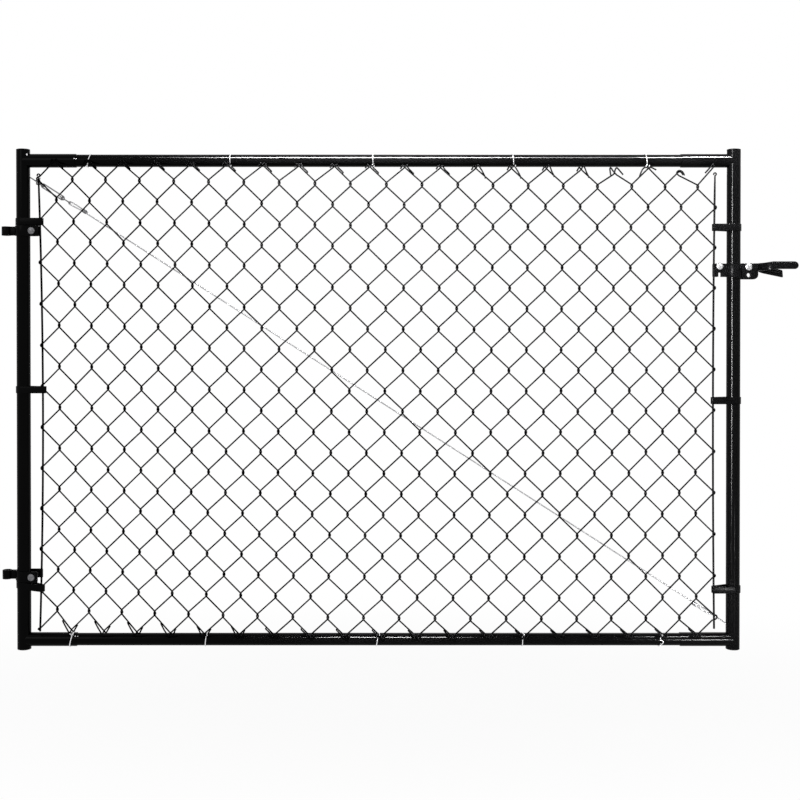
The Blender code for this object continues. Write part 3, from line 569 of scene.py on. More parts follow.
def build_screws():
    """The self-drilling screw that holds each rail in its stub."""
    washer = [(0.0046, 0), (0.0046, 0.0006), (0.0038, 0.0009)]
    head = [(0.0033, 0.0008), (0.0033, 0.0032), (0.0028, 0.0038)]
    for end, z, _ in RAILS:
        for side, x, way in SIDES:
            base = from_foot(x + way * (STUB_REACH - SCREW_INSET), TUBE_RADIUS - 0.0003, z)
            shape = lathe(washer, base, BACK, 24)
            lathe(head, base, BACK, 6, shape=shape)
            settle(shape.build(f"{side}_{end}_rail_screw", PRESSED_BLACK))


# ---- Fabric

def build_rods():
    """The tension rods, bowed by the pull of the net, each with a small eye at its head."""
    steps = 40

    def thickness(number, _):
        return ROD_RADIUS + ROD_COAT - 0.0008 * smoothstep((number - steps + 2) / 3)

    for side, x, way in SIDES:
        foot = ROD_FOOT[side]
        path = []
        for k in range(steps + 1):
            z = foot + (ROD_TOP[side] - foot) * k / steps
            path.append(from_foot(x + way * rod_offset(side, z), ROD_Y, z))
        eye = path[-1] + UP * 0.0034
        path += circle_points(eye, 0.0031, ALONG, UP, -90, 215, 24)[1:]
        shape = sweep(path, thickness, 16)
        stand_in(shape, f"{side}_tension_bar", "rod", WIRE_BLACK)


def fabric_hubs():
    """Where the net's wires cross, by column from the hinge side and row from the top.

    The net is stretched unevenly between its bowed rods, as the photograph shows: its rows rise
    and fall along it, its columns lean, and its edges are pulled towards the first ties.
    """
    draw = random.Random(7)
    shake = 0.00045
    hubs = {}
    for column in range(COLUMNS + 1):
        across = 2 * column / COLUMNS - 1
        inner = 1 - across**2
        for row in range(ROWS + 1):
            if (column + row) % 2 == 0:
                continue
            line = row
            if row == 0:
                line = 0.18
            elif row == ROWS:
                line = ROWS - 0.14 - 0.09 * across
            down = 2 * line / ROWS - 1
            z = (FABRIC_TOP + FABRIC_BOTTOM) / 2 - down * (FABRIC_TOP - FABRIC_BOTTOM) / 2
            z += 0.0075 * across**2 - 0.0049 * across
            z += 0.0049 * across**2 * down - 0.0076 * across * down**2
            start = rod_offset("hinge", z) + ROD_RADIUS + SEAT
            end = STILE_SPACING - rod_offset("latch", z) - ROD_RADIUS - SEAT
            x = (start + end) / 2 + (end - start) / 2 * across * (1 + 0.035 * inner)
            x -= (0.0072 * down + 0.0051) * inner
            shift = Vector((draw.uniform(-1, 1), 0, draw.uniform(-1, 1))) * shake
            if column in (0, COLUMNS):
                shift.x = 0
            if row == 0:
                shift.x += 0.0056 * exp(-(((x - 0.675) / 0.22) ** 2))
            hubs[column, row] = from_foot(x, EDGE_Y if row in (0, ROWS) else ROD_Y, z) + shift
    for column, (x, z) in BENT_HUBS.items():
        hubs[column, 0] = from_foot(x, EDGE_Y, z)
    return hubs


def bezier(first, second, third, fourth, steps):
    points = []
    for k in range(steps + 1):
        t = k / steps
        u = 1 - t
        points.append(first * u**3 + second * 3 * u * u * t + third * 3 * u * t * t + fourth * t**3)
    return points


def wire_bend(before, centre, after, side):
    """The bend of one picket at a crossing: it turns back round its neighbour's bend."""
    steps = 8
    head = centre + UP * CROSSING
    foot = centre - UP * CROSSING
    into = (head - before + UP * CROSSING).normalized()
    out = (after + UP * CROSSING - foot).normalized()
    into.y = 0
    out.y = 0
    points = bezier(head, head + into * BEND, foot - out * BEND, foot, steps)
    for k, point in enumerate(points):
        point.y += -side * LAY * cos(pi * k / steps)
    return points


def rod_bend(centre, side, rod_x, loose=1.0):
    """The bend of an end picket, which passes round the tension rod."""
    steps = 10
    reach = (ROD_RADIUS + ROD_COAT + WIRE_RADIUS) * loose
    points = []
    for k in range(steps + 1):
        turn = pi * k / steps
        x = rod_x + side * (reach * sin(turn) - 0.0012 * loose * (1 - sin(turn)))
        z = centre.z + CROSSING * loose * cos(turn)
        points.append(Vector((x, centre.y - side * reach * cos(turn), z)))
    return points


def smooth_path(points, steps):
    """A smooth curve through the points."""
    ends = [points[0] * 2 - points[1]] + points + [points[-1] * 2 - points[-2]]
    path = []
    for before, near, far, after in zip(ends, ends[1:], ends[2:], ends[3:]):
        lead = near + (far - before) / 6
        trail = far - (after - near) / 6
        path += bezier(near, lead, trail, far, steps)[:-1]
    return path + [points[-1]]


def knuckle(centre, front, way, draw, bent=None):
    """The end of a picket at the net's edge, round the place where two strands cross.

    The front wire turns back in a short leg on its neighbour, the back wire in a longer one.
    """
    stretch = draw.uniform(0.85, 1.12)
    points = []
    for x, z, y in bent or LEGS[front]:
        longer = stretch if not bent and abs(x) > STRETCHED else 1
        flat = Vector((-way * x * longer, 0, -way * z * longer)) * 0.001
        points.append(centre + flat + BACK * LAY * y)
    return smooth_path(points, 4)


def build_fabric(hubs):
    """Each picket is one wire, bent to and fro between two columns of crossings."""
    draw = random.Random(11)
    names = ("fabric_hinge_side", "fabric_middle", "fabric_latch_side")
    shapes = [Shape() for _ in names]
    for column in range(COLUMNS):
        spots = [(column + (column + row + 1) % 2, row) for row in range(ROWS + 1)]
        path = []
        for row, spot in enumerate(spots):
            across = spot[0]
            side = 1 if across > column else -1
            centre = hubs[spot]
            if row == 0:
                front = side < 0
                bent = BENT_KNUCKLES.get((across, front))
                if not bent and (front or across < HOOKED_FROM):
                    bent = SHORT_LEG if front else CLOSE_LEG
                path += knuckle(centre, front, 1, draw, bent)[::-1]
            elif row == ROWS:
                front = side > 0
                bent = BENT_CORNER if across == 0 else None
                if not bent and across > HOOKED_TO:
                    bent = SHORT_LEG if front else CLOSE_LEG
                path += knuckle(centre, front, -1, draw, bent)
            elif across == 0:
                path += rod_bend(centre, side, centre.x - ROD_RADIUS - SEAT)
            elif across == COLUMNS:
                loose = LAST_BEND if row == ROWS - 1 else 1.0
                path += rod_bend(centre, side, centre.x + ROD_RADIUS + SEAT, loose)
            else:
                path += wire_bend(hubs[spots[row - 1]], centre, hubs[spots[row + 1]], side)
        shape = shapes[column * len(names) // COLUMNS]
        sweep(path, WIRE_RADIUS, 8, first=BACK, shape=shape)
    for name, shape in zip(names, shapes):
        stand_in(shape, name, "pickets", WIRE_BLACK, 70)


def bend_of(stops, high):
    """Sideways bend of a tie at a height on the rail, smoothly from stop to stop."""
    for (upper, first), (lower, second) in zip(stops, stops[1:]):
        if high >= lower:
            return first + (second - first) * smoothstep((upper - high) / (upper - lower))
    return stops[-1][1]


def build_painted_glints():
    """Painted highlights for glints, each a thin bright fleck of metal with a ragged outline."""
    corners = 14
    for name, (x, high, size, radius, rail_z) in PAINTED_GLINTS.items():
        on_weld = name == "weld"
        front = -sqrt((radius + 0.0002) ** 2 - (x if on_weld else high) ** 2)
        out = Vector((x, front, 0) if on_weld else (0, front, high)).normalized()
        point = from_foot(x, front, rail_z + high) + out * (0.0016 if on_weld else 0)
        draw = random.Random(name)
        uneven = [draw.uniform(0.6, 1.25) for _ in range(corners)]

        def ragged(reach, _, angle):
            return reach * uneven[round(angle * corners / tau) % corners]

        profile = [(size, -0.0018), (size, 0), (size * 0.6, 0.0002)]
        shape = lathe(profile, point, out, corners, reach=ragged)
        # The fleck is a painted glint, made in the ties' bright metal.
        settle(shape.build(f"bare_spot_{name}", ALUMINIUM))


def build_lashing():
    """Black wire lashed round the head of the first tension rod."""
    turns, steps = 3.2, 60
    head, length = 1.1478, 0.0150
    path = []
    for k in range(steps + 1):
        turn = tau * turns * k / steps
        z = head - length * k / steps
        reach = 0.0043 + 0.0006 * sin(turn * 0.37 + 1)
        x = rod_offset("hinge", z) - 0.0010 + reach * cos(turn)
        path.append(from_foot(x, ROD_Y + reach * sin(turn), z + 0.0016 * cos(turn)))
    shape = sweep(path, 0.0011, 8)
    settle(shape.build("hinge_rod_lashing", WIRE_BLACK, 70))


def build_ties():
    """Tie wires round the rails, whose ends hook over the edge of the net."""
    steps = 36
    for end, z, way in RAILS:
        for number, (x, lean) in enumerate(TIES[end], 1):
            name = f"tie_{end}_{number}"
            from_stile = min(x, STILE_SPACING - x)
            around = TUBE_RADIUS if from_stile < STUB_REACH + TIE_RADIUS else RAIL_RADIUS
            radius = around + SEAT + TIE_RADIUS
            path = []
            for k in range(steps + 1):
                angle = radians(-38 + 286 * k / steps)
                high = way * sin(angle)
                bent = bend_of(BENT_TIES[name], high) if name in BENT_TIES and k < 22 else 0
                along = x + lean * high + bent
                path.append(from_foot(along, -radius * cos(angle), z + radius * high))
            front = path[0]
            hook = front + Vector((-0.0012, -0.0010, -way * 0.0030))
            curl = hook + Vector((-0.0014, -0.0012, -way * 0.0026))
            tip = curl + Vector((-0.0024, 0.0012, way * 0.0004))
            lead = bezier(tip, curl, hook, front, 6)
            under = path[-1]
            back = under + Vector((0, -0.004, -way * 0.0012))
            forward = Vector((under.x + 0.0015, EDGE_Y + 0.004, under.z - way * 0.0016))
            out = forward + Vector((0.0010, -0.0052, -way * 0.0004))
            raised = out + Vector((0.0006, -0.0010, way * 0.0036))
            tail = bezier(under, back, forward, out, 8)[1:]
            rise = Vector((0, -0.0016, 0)), Vector((0, -0.0004, 0))
            tail += bezier(out, out + rise[0], raised + rise[1], raised, 4)[1:]
            shape = sweep(lead[:-1] + path + tail, TIE_RADIUS, 10, first=ALONG)
            stand_in(shape, name, "wire", ALUMINIUM, 70)


# ---- Fittings

def tangent_angle(point, radius):
    distance = hypot(*point)
    return degrees(atan2(point[1], point[0])), degrees(acos(radius / distance))


def build_bands():
    """Hooked straps that hold the rods to the stiles: a wrap, two legs and a hook on each."""
    wrap = TUBE_RADIUS + SEAT + 0.0008
    gap = 0.0062
    hook = ((0.0004, 0.0030), (-0.0001, 0.0014), (0.0006, 0.0003), (0.0022, 0))
    for side, x, way in SIDES:
        heights, past = BANDS[side]
        for level, z in zip(("top", "middle", "bottom"), heights):
            slope = LOW_BAND_SLOPE if (side, level) == ("hinge", "bottom") else 0
            hook_x = rod_offset(side, z) + past
            front, back = ROD_Y - gap, ROD_Y + gap
            front_angle, front_spread = tangent_angle((hook_x, front), wrap)
            back_angle, back_spread = tangent_angle((hook_x, back), wrap)
            path = [(hook_x - inset, front + rise) for inset, rise in hook]
            begin, end = front_angle - front_spread, back_angle + back_spread - 360
            path += arc((0, 0), wrap, begin, end, 40)
            path += [(hook_x - inset, back - rise) for inset, rise in reversed(hook)]
            stations = [(px, py, -0.0085, 0.0085) for px, py in path]
            shape = strap(stations, 0.0016, 0.0005, flip=way)
            base = from_foot(x, 0, z)
            sloped = [Vector((px, py, pz - slope * px)) for px, py, pz in shape.points]
            shape.points = [tuple(base + point) for point in sloped]
            stand_in(shape, f"{side}_band_{level}", "strap", PRESSED_BLACK, 50)


def build_bolt(name, seat, grip, material):
    """A carriage bolt along +Y from under its domed head, with a chamfered nut and threads."""
    shank = 0.0040
    head_radius = 0.0087
    thread_length = 0.0100
    turns, steps = 9, 72
    head = [(shank, 0.0), (0.0084, 0.0), (0.0088, -0.0004), (head_radius, -0.0009)]
    for k in range(1, 9):
        turn = radians(90 * k / 9)
        head.append((head_radius * cos(turn), -0.0009 - 0.0033 * sin(turn)))
    shape = lathe(head[::-1] + [(shank, grip)], seat, BACK, 40)
    nut = [(0.0060, 0.0), (0.00625, 0.0004), (0.00625, 0.0060), (0.0060, 0.0065)]

    def hexagon(radius, _, angle):
        flat = radius / cos((angle + pi / 6) % (pi / 3) - pi / 6)
        return min(flat, radius * 1.125)

    nut_seat = seat + BACK * grip
    lathe(nut, nut_seat, BACK, 48, reach=hexagon, shape=shape)
    thread = [(shank, k * thread_length / steps) for k in range(steps + 1)]

    def helix(radius, height, angle):
        wave = (height / (thread_length / turns) - angle / tau) % 1
        return radius - 0.0006 + 0.0006 * abs(2 * wave - 1)

    lathe(thread, nut_seat, BACK, 24, reach=helix, shape=shape)
    stand_in(shape, name, "detail", material, 35)


def build_hinges():
    """Hinge straps: a flange in front, a wrap, an eye, and the same way back behind the stile."""
    half = 0.0016
    wrap = TUBE_RADIUS + SEAT + half
    eye_x = -0.0413
    eye_radius = 0.0082 + half
    flange_y = 0.0255 / 2 + half
    neck_y = half + SEAT / 2
    flange_tall, wrap_tall, eye_tall = 0.0136, 0.01275, 0.011
    wrap_steps = 28
    flange_angle = degrees(asin(flange_y / wrap))
    neck_angle = degrees(asin(neck_y / wrap))
    eye_angle = degrees(asin(neck_y / eye_radius))
    wrap_arc = arc((0, 0), wrap, -flange_angle, neck_angle - 180, wrap_steps)
    eye_arc = arc((eye_x, 0), eye_radius, -eye_angle, -180, 20)
    neck_x = wrap_arc[-1][0] - 0.001
    for level, (z, sag, short, back_reach, bolt_x) in HINGES.items():
        reach = rod_offset("hinge", z) - ROD_RADIUS - 0.0004 - short
        corner = 0.0030 if short else 0.0012
        stations = []
        for inset, cutoff in ((0.0, corner), (corner * 0.3, corner * 0.3), (corner, 0.0)):
            low = -flange_tall - sag + cutoff
            high = flange_tall - sag - cutoff * 0.5
            stations.append((reach - inset, -flange_y, low, high))
        for number, (x, y) in enumerate(wrap_arc):
            drop = sag * (1 - number / wrap_steps)
            tall = flange_tall + (wrap_tall - flange_tall) * smoothstep(number / 6)
            tall += (eye_tall - wrap_tall) * smoothstep((number - 20) / 7)
            stations.append((x, y, -tall - drop, tall - drop))
        stations.append((neck_x, -neck_y, -eye_tall, eye_tall))
        for number, (x, y) in enumerate(eye_arc):
            stations.append((x, -neck_y if number == 0 else y, -eye_tall, eye_tall))
        for x, y in reversed(eye_arc[:-1]):
            stations.append((x, max(-y, neck_y), -eye_tall, eye_tall))
        stations.append((neck_x, neck_y, -eye_tall, eye_tall))
        for number, (x, y) in enumerate(reversed(wrap_arc)):
            share = smoothstep(number / 7) * (1 - smoothstep((number - 21) / 7))
            tall = eye_tall + (wrap_tall - eye_tall) * share
            stations.append((x, -y, -tall, tall))
        for inset, cutoff in ((0.0012, 0.0), (0.0004, 0.0004), (0.0, 0.0012)):
            end = (-eye_tall + cutoff, eye_tall - cutoff)
            stations.append((back_reach - inset, flange_y, *end))
        shape = strap(stations, 0.0032, 0.0009, origin=from_foot(0, 0, z))
        stand_in(shape, f"hinge_strap_{level}", "pressing", PRESSED_BLACK, 55)
        seat = flange_y + half + SEAT
        build_bolt(f"hinge_bolt_{level}", from_foot(bolt_x, -seat, z - sag), 2 * seat, DULL_ZINC)


def build_collar():
    """The two pressed halves of the latch's collar, their two bolts, and the fork between them."""
    half = 0.0013
    wrap = TUBE_RADIUS + SEAT + half
    top = GATE_HEIGHT - 0.2772
    outer_bottom = top - 0.0385
    inner_bottom = top - 0.0324
    inner_y = 0.005 + half
    outer_y = 0.003 + half
    big_corner = 0.012
    arc_steps = 30
    inner_angle = degrees(asin(inner_y / wrap)) - 180
    outer_angle = -degrees(asin(outer_y / wrap))
    wrap_arc = arc((0, 0), wrap, inner_angle, outer_angle, arc_steps)
    bolt_z = top - 0.0068
    pivot_z = top - PIVOT_DROP
    for face, way in (("front", 1), ("back", -1)):
        stations = []
        for inset, cutoff in ((0.0, 0.0014), (0.0005, 0.0005), (0.0014, 0.0)):
            stations.append((-0.0500 + inset, -inner_y, inner_bottom + cutoff, top - cutoff))
        for number, (x, y) in enumerate(wrap_arc):
            low = inner_bottom + (outer_bottom - inner_bottom) * smoothstep(number / arc_steps)
            if number == 0:
                stations.append((x - 0.0016, y - 0.0003, low, top))
            stations.append((x, y, low, top))
            if number == arc_steps:
                stations.append((x + 0.0016, y - 0.0003, low, top))
        for turn in range(0, 88, 8):
            inset = big_corner * (1 - sin(radians(turn)))
            low = outer_bottom + big_corner * (1 - cos(radians(turn)))
            fall = PLATE_CORNER - min(inset, PLATE_CORNER)
            high = top - PLATE_CORNER + sqrt(PLATE_CORNER**2 - fall**2)
            stations.append((PLATE_REACH - inset, -outer_y, low, high))
        stations = [(x, way * y, low, high) for x, y, low, high in stations]
        shape = strap(stations, 0.0026, 0.0006, origin=from_foot(STILE_SPACING, 0, 0))
        name = f"latch_collar_{face}"
        obj = shape.build(name + "_pressing", PRESSED_BLACK, 50)
        middle = from_foot(STILE_SPACING + 0.0362, 0, top - 0.0280)
        hole = lathe([(0.0052, -0.02), (0.0052, 0.02)], middle, BACK, 40)
        centre = from_foot(STILE_SPACING - 0.0345, 0, inner_bottom)
        outline = [(-0.0044, -0.01), (0.0044, -0.01)]
        outline += arc((0.0026, 0.0087), 0.0018, 0, 90, 4)
        outline += arc((-0.0026, 0.0087), 0.0018, 90, 180, 4)
        rings = [[centre + Vector((x, y, z)) for x, z in outline] for y in (-0.02, 0.02)]
        slot = Shape().skin(rings)
        cut(obj, [hole.build("lock_hole", PRESSED_BLACK), slot.build("slot", PRESSED_BLACK)])
        obj.data.set_sharp_from_angle(angle=radians(50))
        settle(obj, [name])
    for name, x, z, y in (
        ("latch_collar_bolt", STILE_SPACING - 0.0355, bolt_z, inner_y),
        ("latch_pivot_bolt", STILE_SPACING + PIVOT_REACH, pivot_z, outer_y),
    ):
        seat = y + half + SEAT
        build_bolt(name, from_foot(x, -seat, z), 2 * seat, ZINC)
    build_fork(from_foot(STILE_SPACING + PIVOT_REACH, 0, pivot_z))


def build_fork(pivot):
    """The fork: a tail between the collar plates, and two prongs that are rolled over."""
    thick = 0.0035
    high = 0.0095
    front_reach = 0.1111
    back_reach = 0.0964
    apart = 0.038
    sweep_in = 0.024
    corner = (PLATE_REACH - PIVOT_REACH - PLATE_CORNER, PIVOT_DROP - PLATE_CORNER)
    root = hypot(*corner) + PLATE_CORNER + 0.001 + thick / 2
    tip = []
    for turn in range(84, -1, -12):
        x = front_reach - high * (1 - sin(radians(turn)))
        rise = high * cos(radians(turn))
        tip.append((x, -apart, -rise, rise))
    bend = []
    for turn in range(90, 0, -6):
        x = root + sweep_in * (1 - cos(radians(turn)))
        bend.append((x, -apart * sin(radians(turn)), -high, high))
    nose = [(root, 0, -high, high)]
    start = front_reach - high
    run = start - root - sweep_in
    straight = [(start - run * k / 6, -apart, -high, high) for k in range(1, 6)]
    back = [(x, -y, low, top) for x, y, low, top in reversed(bend)]
    run = back_reach - 0.002 - root - sweep_in
    back += [(root + sweep_in + run * k / 5, apart, -high, high) for k in range(1, 6)]
    for inset, cutoff in ((0.0006, 0.0007), (0, 0.0022)):
        back.append((back_reach - inset, apart, -high + cutoff, high - cutoff))
    shape = strap(tip + straight + bend + nose + back, thick, 0.0011)
    rolled = []
    for x, y, z in shape.points:
        turned_over = sweep_in if y < 0 else back_reach - root
        share = min(max((x - root) / turned_over, 0), 1)
        roll = radians(13.6) * share
        turned_y = y * cos(roll) + z * sin(roll)
        turned_z = z * cos(roll) - y * sin(roll)
        rolled.append((x, turned_y, turned_z - 0.0062 * share))
    shape.points = rolled
    heel = PIVOT_REACH - TUBE_RADIUS - 0.0004
    edge = high - 0.0005
    shoulder = 180 - degrees(asin(edge / heel))
    heel_x = -heel * cos(radians(180 - shoulder))
    outline = [(heel_x, -edge), (root + 0.001, -edge), (root + 0.001, edge)]
    outline += arc((0, 0), heel, shoulder, 180, 8)
    rings = []
    for y, inset in ((-0.0025, 0.0006), (-0.0019, 0), (0.0019, 0), (0.0025, 0.0006)):
        shrink_x, shrink_z = 1 - inset / 0.02, 1 - inset / edge
        rings.append([Vector((x * shrink_x, y, z * shrink_z)) for x, z in outline])
    shape.skin(rings)
    shape.points = [tuple(pivot + Vector(point)) for point in shape.points]
    stand_in(shape, "latch_fork", "forging", PRESSED_BLACK, 50, body=FORK)


# ---- Truss

def rounded_square(value):
    """A cosine or sine drawn out, so that a circle of them becomes a rounded square."""
    return abs(value) ** 0.8 * copysign(1, value)


def build_truss():
    """The diagonal: an eye on each stile, a turnbuckle with two hooks, and the looped cable."""
    depth = 0.0020
    wire = 0.0015
    ring = 0.0050
    cable_radius = 0.0016
    start = from_foot(0.0315, depth, GATE_HEIGHT - 0.0759)
    end = from_foot(STILE_SPACING - 0.0534, depth, 0.0847)
    line = (end - start).normalized()
    side = BACK.cross(line)
    link = 2 * ring - 2 * wire - SEAT
    for name, centre, way in (("hinge", start, -1), ("latch", end, 1)):
        stile_x = FOOT.x + (0 if way < 0 else STILE_SPACING)
        foot = centre + line * (stile_x - way * 0.0166 - centre.x) / line.x
        path = [foot] + circle_points(centre, ring, line * way, -BACK, 0, 330, 32)
        shape = sweep(path, wire, 12, first=side)
        stand_in(shape, f"truss_anchor_{name}", "eye", TRUSS_ZINC, 60)

    body_start = start + line * 0.0140
    body_end = body_start + line * 2 * BODY_HALF
    hook_centre = start + line * link
    eye_centre = body_end + line * 0.0115
    for name, inside, centre, first, second, turn, normal in (
        ("upper", body_start + line * 0.012, hook_centre, line, side, -325, BACK),
        ("lower", body_end - line * 0.014, eye_centre, -line, BACK, 325, side),
    ):
        shank = [inside.lerp(centre + first * ring, k / 30) for k in range(30)]
        path = shank + circle_points(centre, ring, first, second, 0, turn, 32)

        def threaded(number, angle):
            if number > 22:
                return wire
            wave = (number * 0.5 - angle / tau) % 1
            return wire - 0.00025 + 0.0005 * abs(2 * wave - 1)

        shape = sweep(path, threaded, 12, first=normal)
        stand_in(shape, f"turnbuckle_hook_{name}", "bar", TRUSS_ZINC, 60)

    middle = (body_start + body_end) / 2
    round_path = []
    for sign_a, sign_b, begin in CORNERS:
        for k in range(7):
            angle = radians(begin + 90 * k / 6)
            along = sign_a * (BODY_HALF - 0.0065) + 0.0042 * cos(angle)
            across = sign_b * 0.0003 + 0.0042 * sin(angle)
            round_path.append(middle + line * along + side * across)
    shape = sweep(round_path, 0.00165, 12, closed=True, first=BACK)
    boss = [(0.0024, 0.0), (0.0030, 0.0008), (0.0034, 0.0060), (0.0034, 0.0085), (0.0026, 0.0090)]
    boss = [(radius, height - 0.009) for radius, height in boss]
    for way in (-1, 1):
        lathe(boss, middle + line * way * BODY_HALF, line * way, 24, shape=shape)
    stand_in(shape, "turnbuckle_body", "forging", TRUSS_ZINC, 50)

    ends = (
        ("upper", eye_centre + line * ring, line, side),
        ("lower", end - line * ring, -line, -side),
    )
    grip = cable_radius + SEAT / 2
    bend = wire + SEAT + cable_radius
    loop = 0.033
    path = []
    belly = 0.0105 / 2 - cable_radius
    for level, bend_point, along, across in ends:
        loop_end = bend_point + along * loop
        dead_end = loop_end + along * 0.016 - across * 2 * grip
        turn = circle_points(bend_point, bend, -along, across, -70, 70, 10)
        out_side = bezier(
            loop_end - across * 2 * grip,
            bend_point + along * loop * 0.72 - across * (belly + 0.0006),
            bend_point + along * loop * 0.25 - across * (belly + 0.0006),
            turn[0],
            12,
        )
        in_side = bezier(
            turn[-1],
            bend_point + along * loop * 0.25 + across * (belly * 0.6 + 0.0006),
            bend_point + along * loop * 0.72 + across * belly * 0.5,
            loop_end,
            12,
        )
        leg = [dead_end, loop_end.lerp(dead_end, 0.5) - across * grip]
        leg += out_side + turn[1:-1] + in_side
        path += leg if level == "upper" else leg[::-1]
    dense = []
    for near, far in zip(path, path[1:]):
        steps = max(1, round((far - near).length / 0.0016))
        dense += [near.lerp(far, k / steps) for k in range(steps)]
    dense.append(path[-1])
    lengths = [0.0]
    for near, far in zip(dense, dense[1:]):
        lengths.append(lengths[-1] + (far - near).length)

    def strands(number, angle):
        wave = cos(3 * (angle - tau * lengths[number] / STRAND_LAY))
        return cable_radius * (0.80 + 0.20 * sqrt(abs(wave)))

    shape = sweep(dense, strands, 24, first=BACK)
    stand_in(shape, "truss_cable", "strands", CABLE_ZINC, 80)

    steps = 20
    for level, bend_point, along, across in ends:
        centre = bend_point + along * (loop + 0.002) - across * grip
        rings = []
        for k in range(steps + 1):
            reach = CLAMP_LENGTH * k / steps
            pinch = 0
            if 0.0025 < reach < 0.0085:
                pinch = 0.0004 * max(0.0, cos(tau * (reach - 0.0055) / 0.0046))
            trim = 0.0005 if k in (0, steps) else 0.0
            half_wide = 2 * grip + CLAMP_WALL + SEAT - trim
            half_deep = cable_radius + CLAMP_WALL + SEAT - trim - pinch
            outline = []
            for angle in full_turn(28):
                wide = half_wide * rounded_square(cos(angle))
                deep = half_deep * rounded_square(sin(angle))
                outline.append(centre + along * reach + across * wide + BACK * deep)
            rings.append(outline)
        shape = Shape().skin(rings)
        stand_in(shape, f"truss_clamp_{level}", "sleeve", TRUSS_ZINC, 50)


# ---- Studio

def seen_straight(add):
    """1 where the camera looks at something itself, in a gloss or through glass; else 0."""
    ray = add("LightPath")
    seen = ray.outputs["Is Camera Ray"]
    for kind in ("Is Glossy Ray", "Is Transmission Ray"):
        both = add("Math", {0: seen, 1: ray.outputs[kind]}, operation="ADD", use_clamp=True)
        seen = both.outputs[0]
    return seen


def build_floor():
    """A pale floor under the hanging leaf; beyond the shadow it is as white as the backdrop."""
    material, shader, add, links, where = new_finish("floor_paper", 0)
    shader.inputs["Roughness"].default_value = 0.9
    shader.inputs["Specular IOR Level"].default_value = 0.0
    grain = noise(add, where, 60, 3.0, 0.6)
    paper = blend_tones(add, grain, (0.80, 0.80), (0.84, 0.84))
    links.new(paper, shader.inputs["Base Color"])
    glow = add("Emission", {"Color": (1, 1, 1, 1), "Strength": 1.0})
    offset = add("VectorMath", {0: where, 1: FLOOR_MIDDLE}, operation="SUBTRACT")
    flat = {0: offset.outputs["Vector"], 1: (0.55, 1.0, 1.0)}
    flat = add("VectorMath", flat, operation="MULTIPLY").outputs["Vector"]
    distance = add("VectorMath", {0: flat}, operation="LENGTH").outputs["Value"]
    settings = {"Value": distance, "From Min": 0.2, "From Max": 1.1, "To Min": 0.96, "To Max": 1.0}
    away = add("MapRange", settings, interpolation_type="SMOOTHSTEP").outputs["Result"]
    share = add("Math", {0: seen_straight(add), 1: away}, operation="MULTIPLY").outputs[0]
    mix = add("MixShader", {0: share, 1: shader.outputs["BSDF"], 2: glow.outputs["Emission"]})
    output = material.node_tree.nodes["Material Output"]
    links.new(mix.outputs["Shader"], output.inputs["Surface"])
    rings = []
    for radius in (0.02, 1.0, 2.0, 4.0, 9.0):
        ring = [Vector((radius * cos(turn), radius * sin(turn), 0)) for turn in full_turn(64)]
        rings.append([Vector(FLOOR_MIDDLE) + point for point in ring])
    Shape().skin(rings).build("studio_floor", material)


def build_world():
    """White for the camera and for reflections, and a softer light on the object."""
    world = bpy.data.worlds.new("studio")
    bpy.context.scene.world = world
    world.use_nodes = True
    add, links = node_kit(world)
    nodes = world.node_tree.nodes
    soft = nodes["Background"]
    soft.inputs["Color"].default_value = (1, 1, 1, 1)
    soft.inputs["Strength"].default_value = 0.45
    white = add("Background", {"Color": (1, 1, 1, 1), "Strength": 1.0})
    shaders = {1: soft.outputs["Background"], 2: white.outputs["Background"]}
    mix = add("MixShader", {0: seen_straight(add), **shaders})
    links.new(mix.outputs["Shader"], nodes["World Output"].inputs["Surface"])


def lamp(name, place, target, size, power, opening=180.0):
    data = bpy.data.lights.new(name, "AREA")
    data.shape = "RECTANGLE"
    data.size, data.size_y = size
    data.energy = power
    data.spread = radians(opening)
    obj = add_object(name, data)
    obj.location = place
    obj.rotation_euler = (Vector(target) - Vector(place)).to_track_quat("-Z", "Y").to_euler()


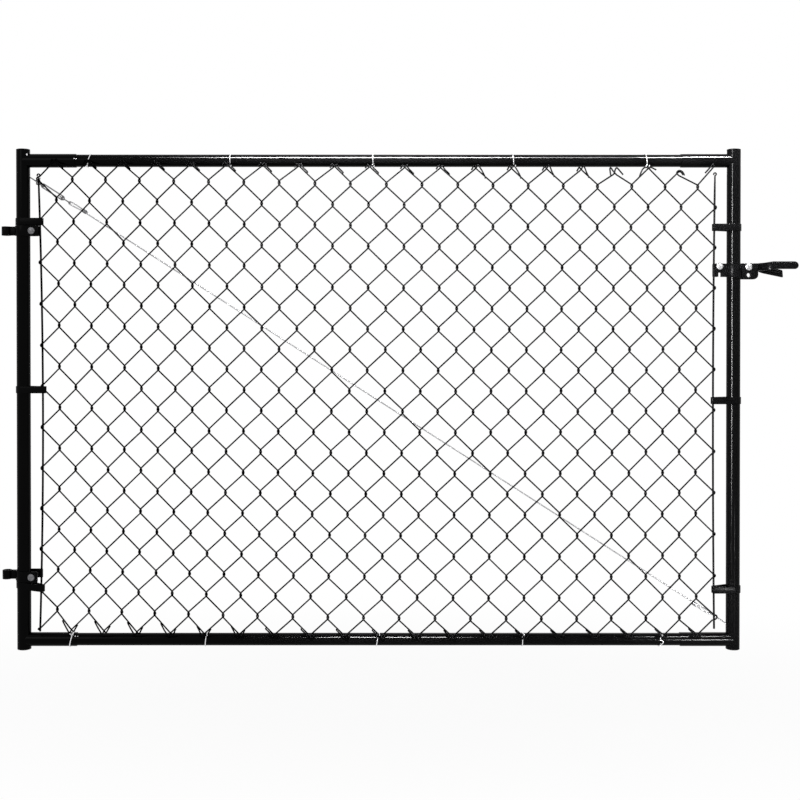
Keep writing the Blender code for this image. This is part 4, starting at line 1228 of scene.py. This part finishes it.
def gridded_strip(name, first, last, rail_z, elevation, height, power, parts, fade=()):
    """Narrow-beam lights that the camera sees mirrored in a rail, from one x to another."""
    elevation = radians(elevation)
    lamp_y = -LAMP_DISTANCE * cos(elevation)
    lamp_z = rail_z + LAMP_DISTANCE * sin(elevation)
    seen_from = hypot(CAMERA.y, CAMERA.z - rail_z)
    width = (last - first) / parts
    for part in range(parts):
        x = first + width * (part + 0.5)
        place = (x + (x - CAMERA.x) * LAMP_DISTANCE / seen_from, lamp_y, lamp_z)
        size = (width * (seen_from + LAMP_DISTANCE) / seen_from, height)
        share = fade[part] if fade else 1.0
        lamp(f"{name}_{part}", place, (x, 0, rail_z), size, power * share, GRID_OPENING)


def build_lights():
    """Narrow strips for the highlights along the rails and the latch stile, and two soft fills."""
    top = FOOT.z + TOP_RAIL_Z
    bottom = FOOT.z + BOTTOM_RAIL_Z
    shares = (0.10, 0.55, 1, 1, 1, 1, 0.85, 0.45, 0.14, 0.16)
    gridded_strip("top_strip", 0.42, 1.50, top, 54.4, 0.30, 2.6, 10, shares)
    gridded_strip("top_right_strip", 1.56, 1.77, top, 54.4, 0.22, 3.2, 2, (0.6, 1))
    gridded_strip("bottom_strip", 0.80, 1.10, bottom, 46.0, 0.20, 1.1, 2, (1, 0.8))
    gridded_strip("bottom_right_strip", 1.57, 1.77, bottom, 56.0, 0.10, 0.32, 2, (0.7, 1))
    gridded_strip("bottom_low_strip", 1.66, 1.775, bottom, -1.0, 0.10, 0.5, 1)
    lamp("upright_strip", (-0.52, -3.0, 0.5), (1.787, 0, 0.45), (0.17, 2.2), 17, 24.0)
    lamp("front_fill", (-1.6, -3.6, 2.4), (0.9, 0, 0.4), (2.0, 2.0), 30)
    lamp("back_fill", (2.2, 4.0, 2.6), (0.9, 0, 0.4), (2.4, 2.4), 50)


def build_camera():
    """The photograph's eye point, with its focal length in pixels and its frame's shift."""
    data = bpy.data.cameras.new("photo_camera")
    data.sensor_width = 36.0
    data.lens = 36.0 * FOCAL_PIXELS / PIXELS_WIDE
    data.shift_x = 0.01875
    data.shift_y = -0.0804
    camera = add_object("photo_camera", data)
    camera.location = CAMERA
    camera.rotation_euler = (pi / 2 - radians(0.5), 0, 0)
    bpy.context.scene.camera = camera


build_stiles()
build_rails()
build_screws()
build_rods()
build_fabric(fabric_hubs())
build_ties()
build_painted_glints()
build_lashing()
build_bands()
build_hinges()
build_collar()
build_truss()
build_floor()
build_world()
build_lights()
build_camera()
bpy.context.scene.view_settings.view_transform = "Standard"
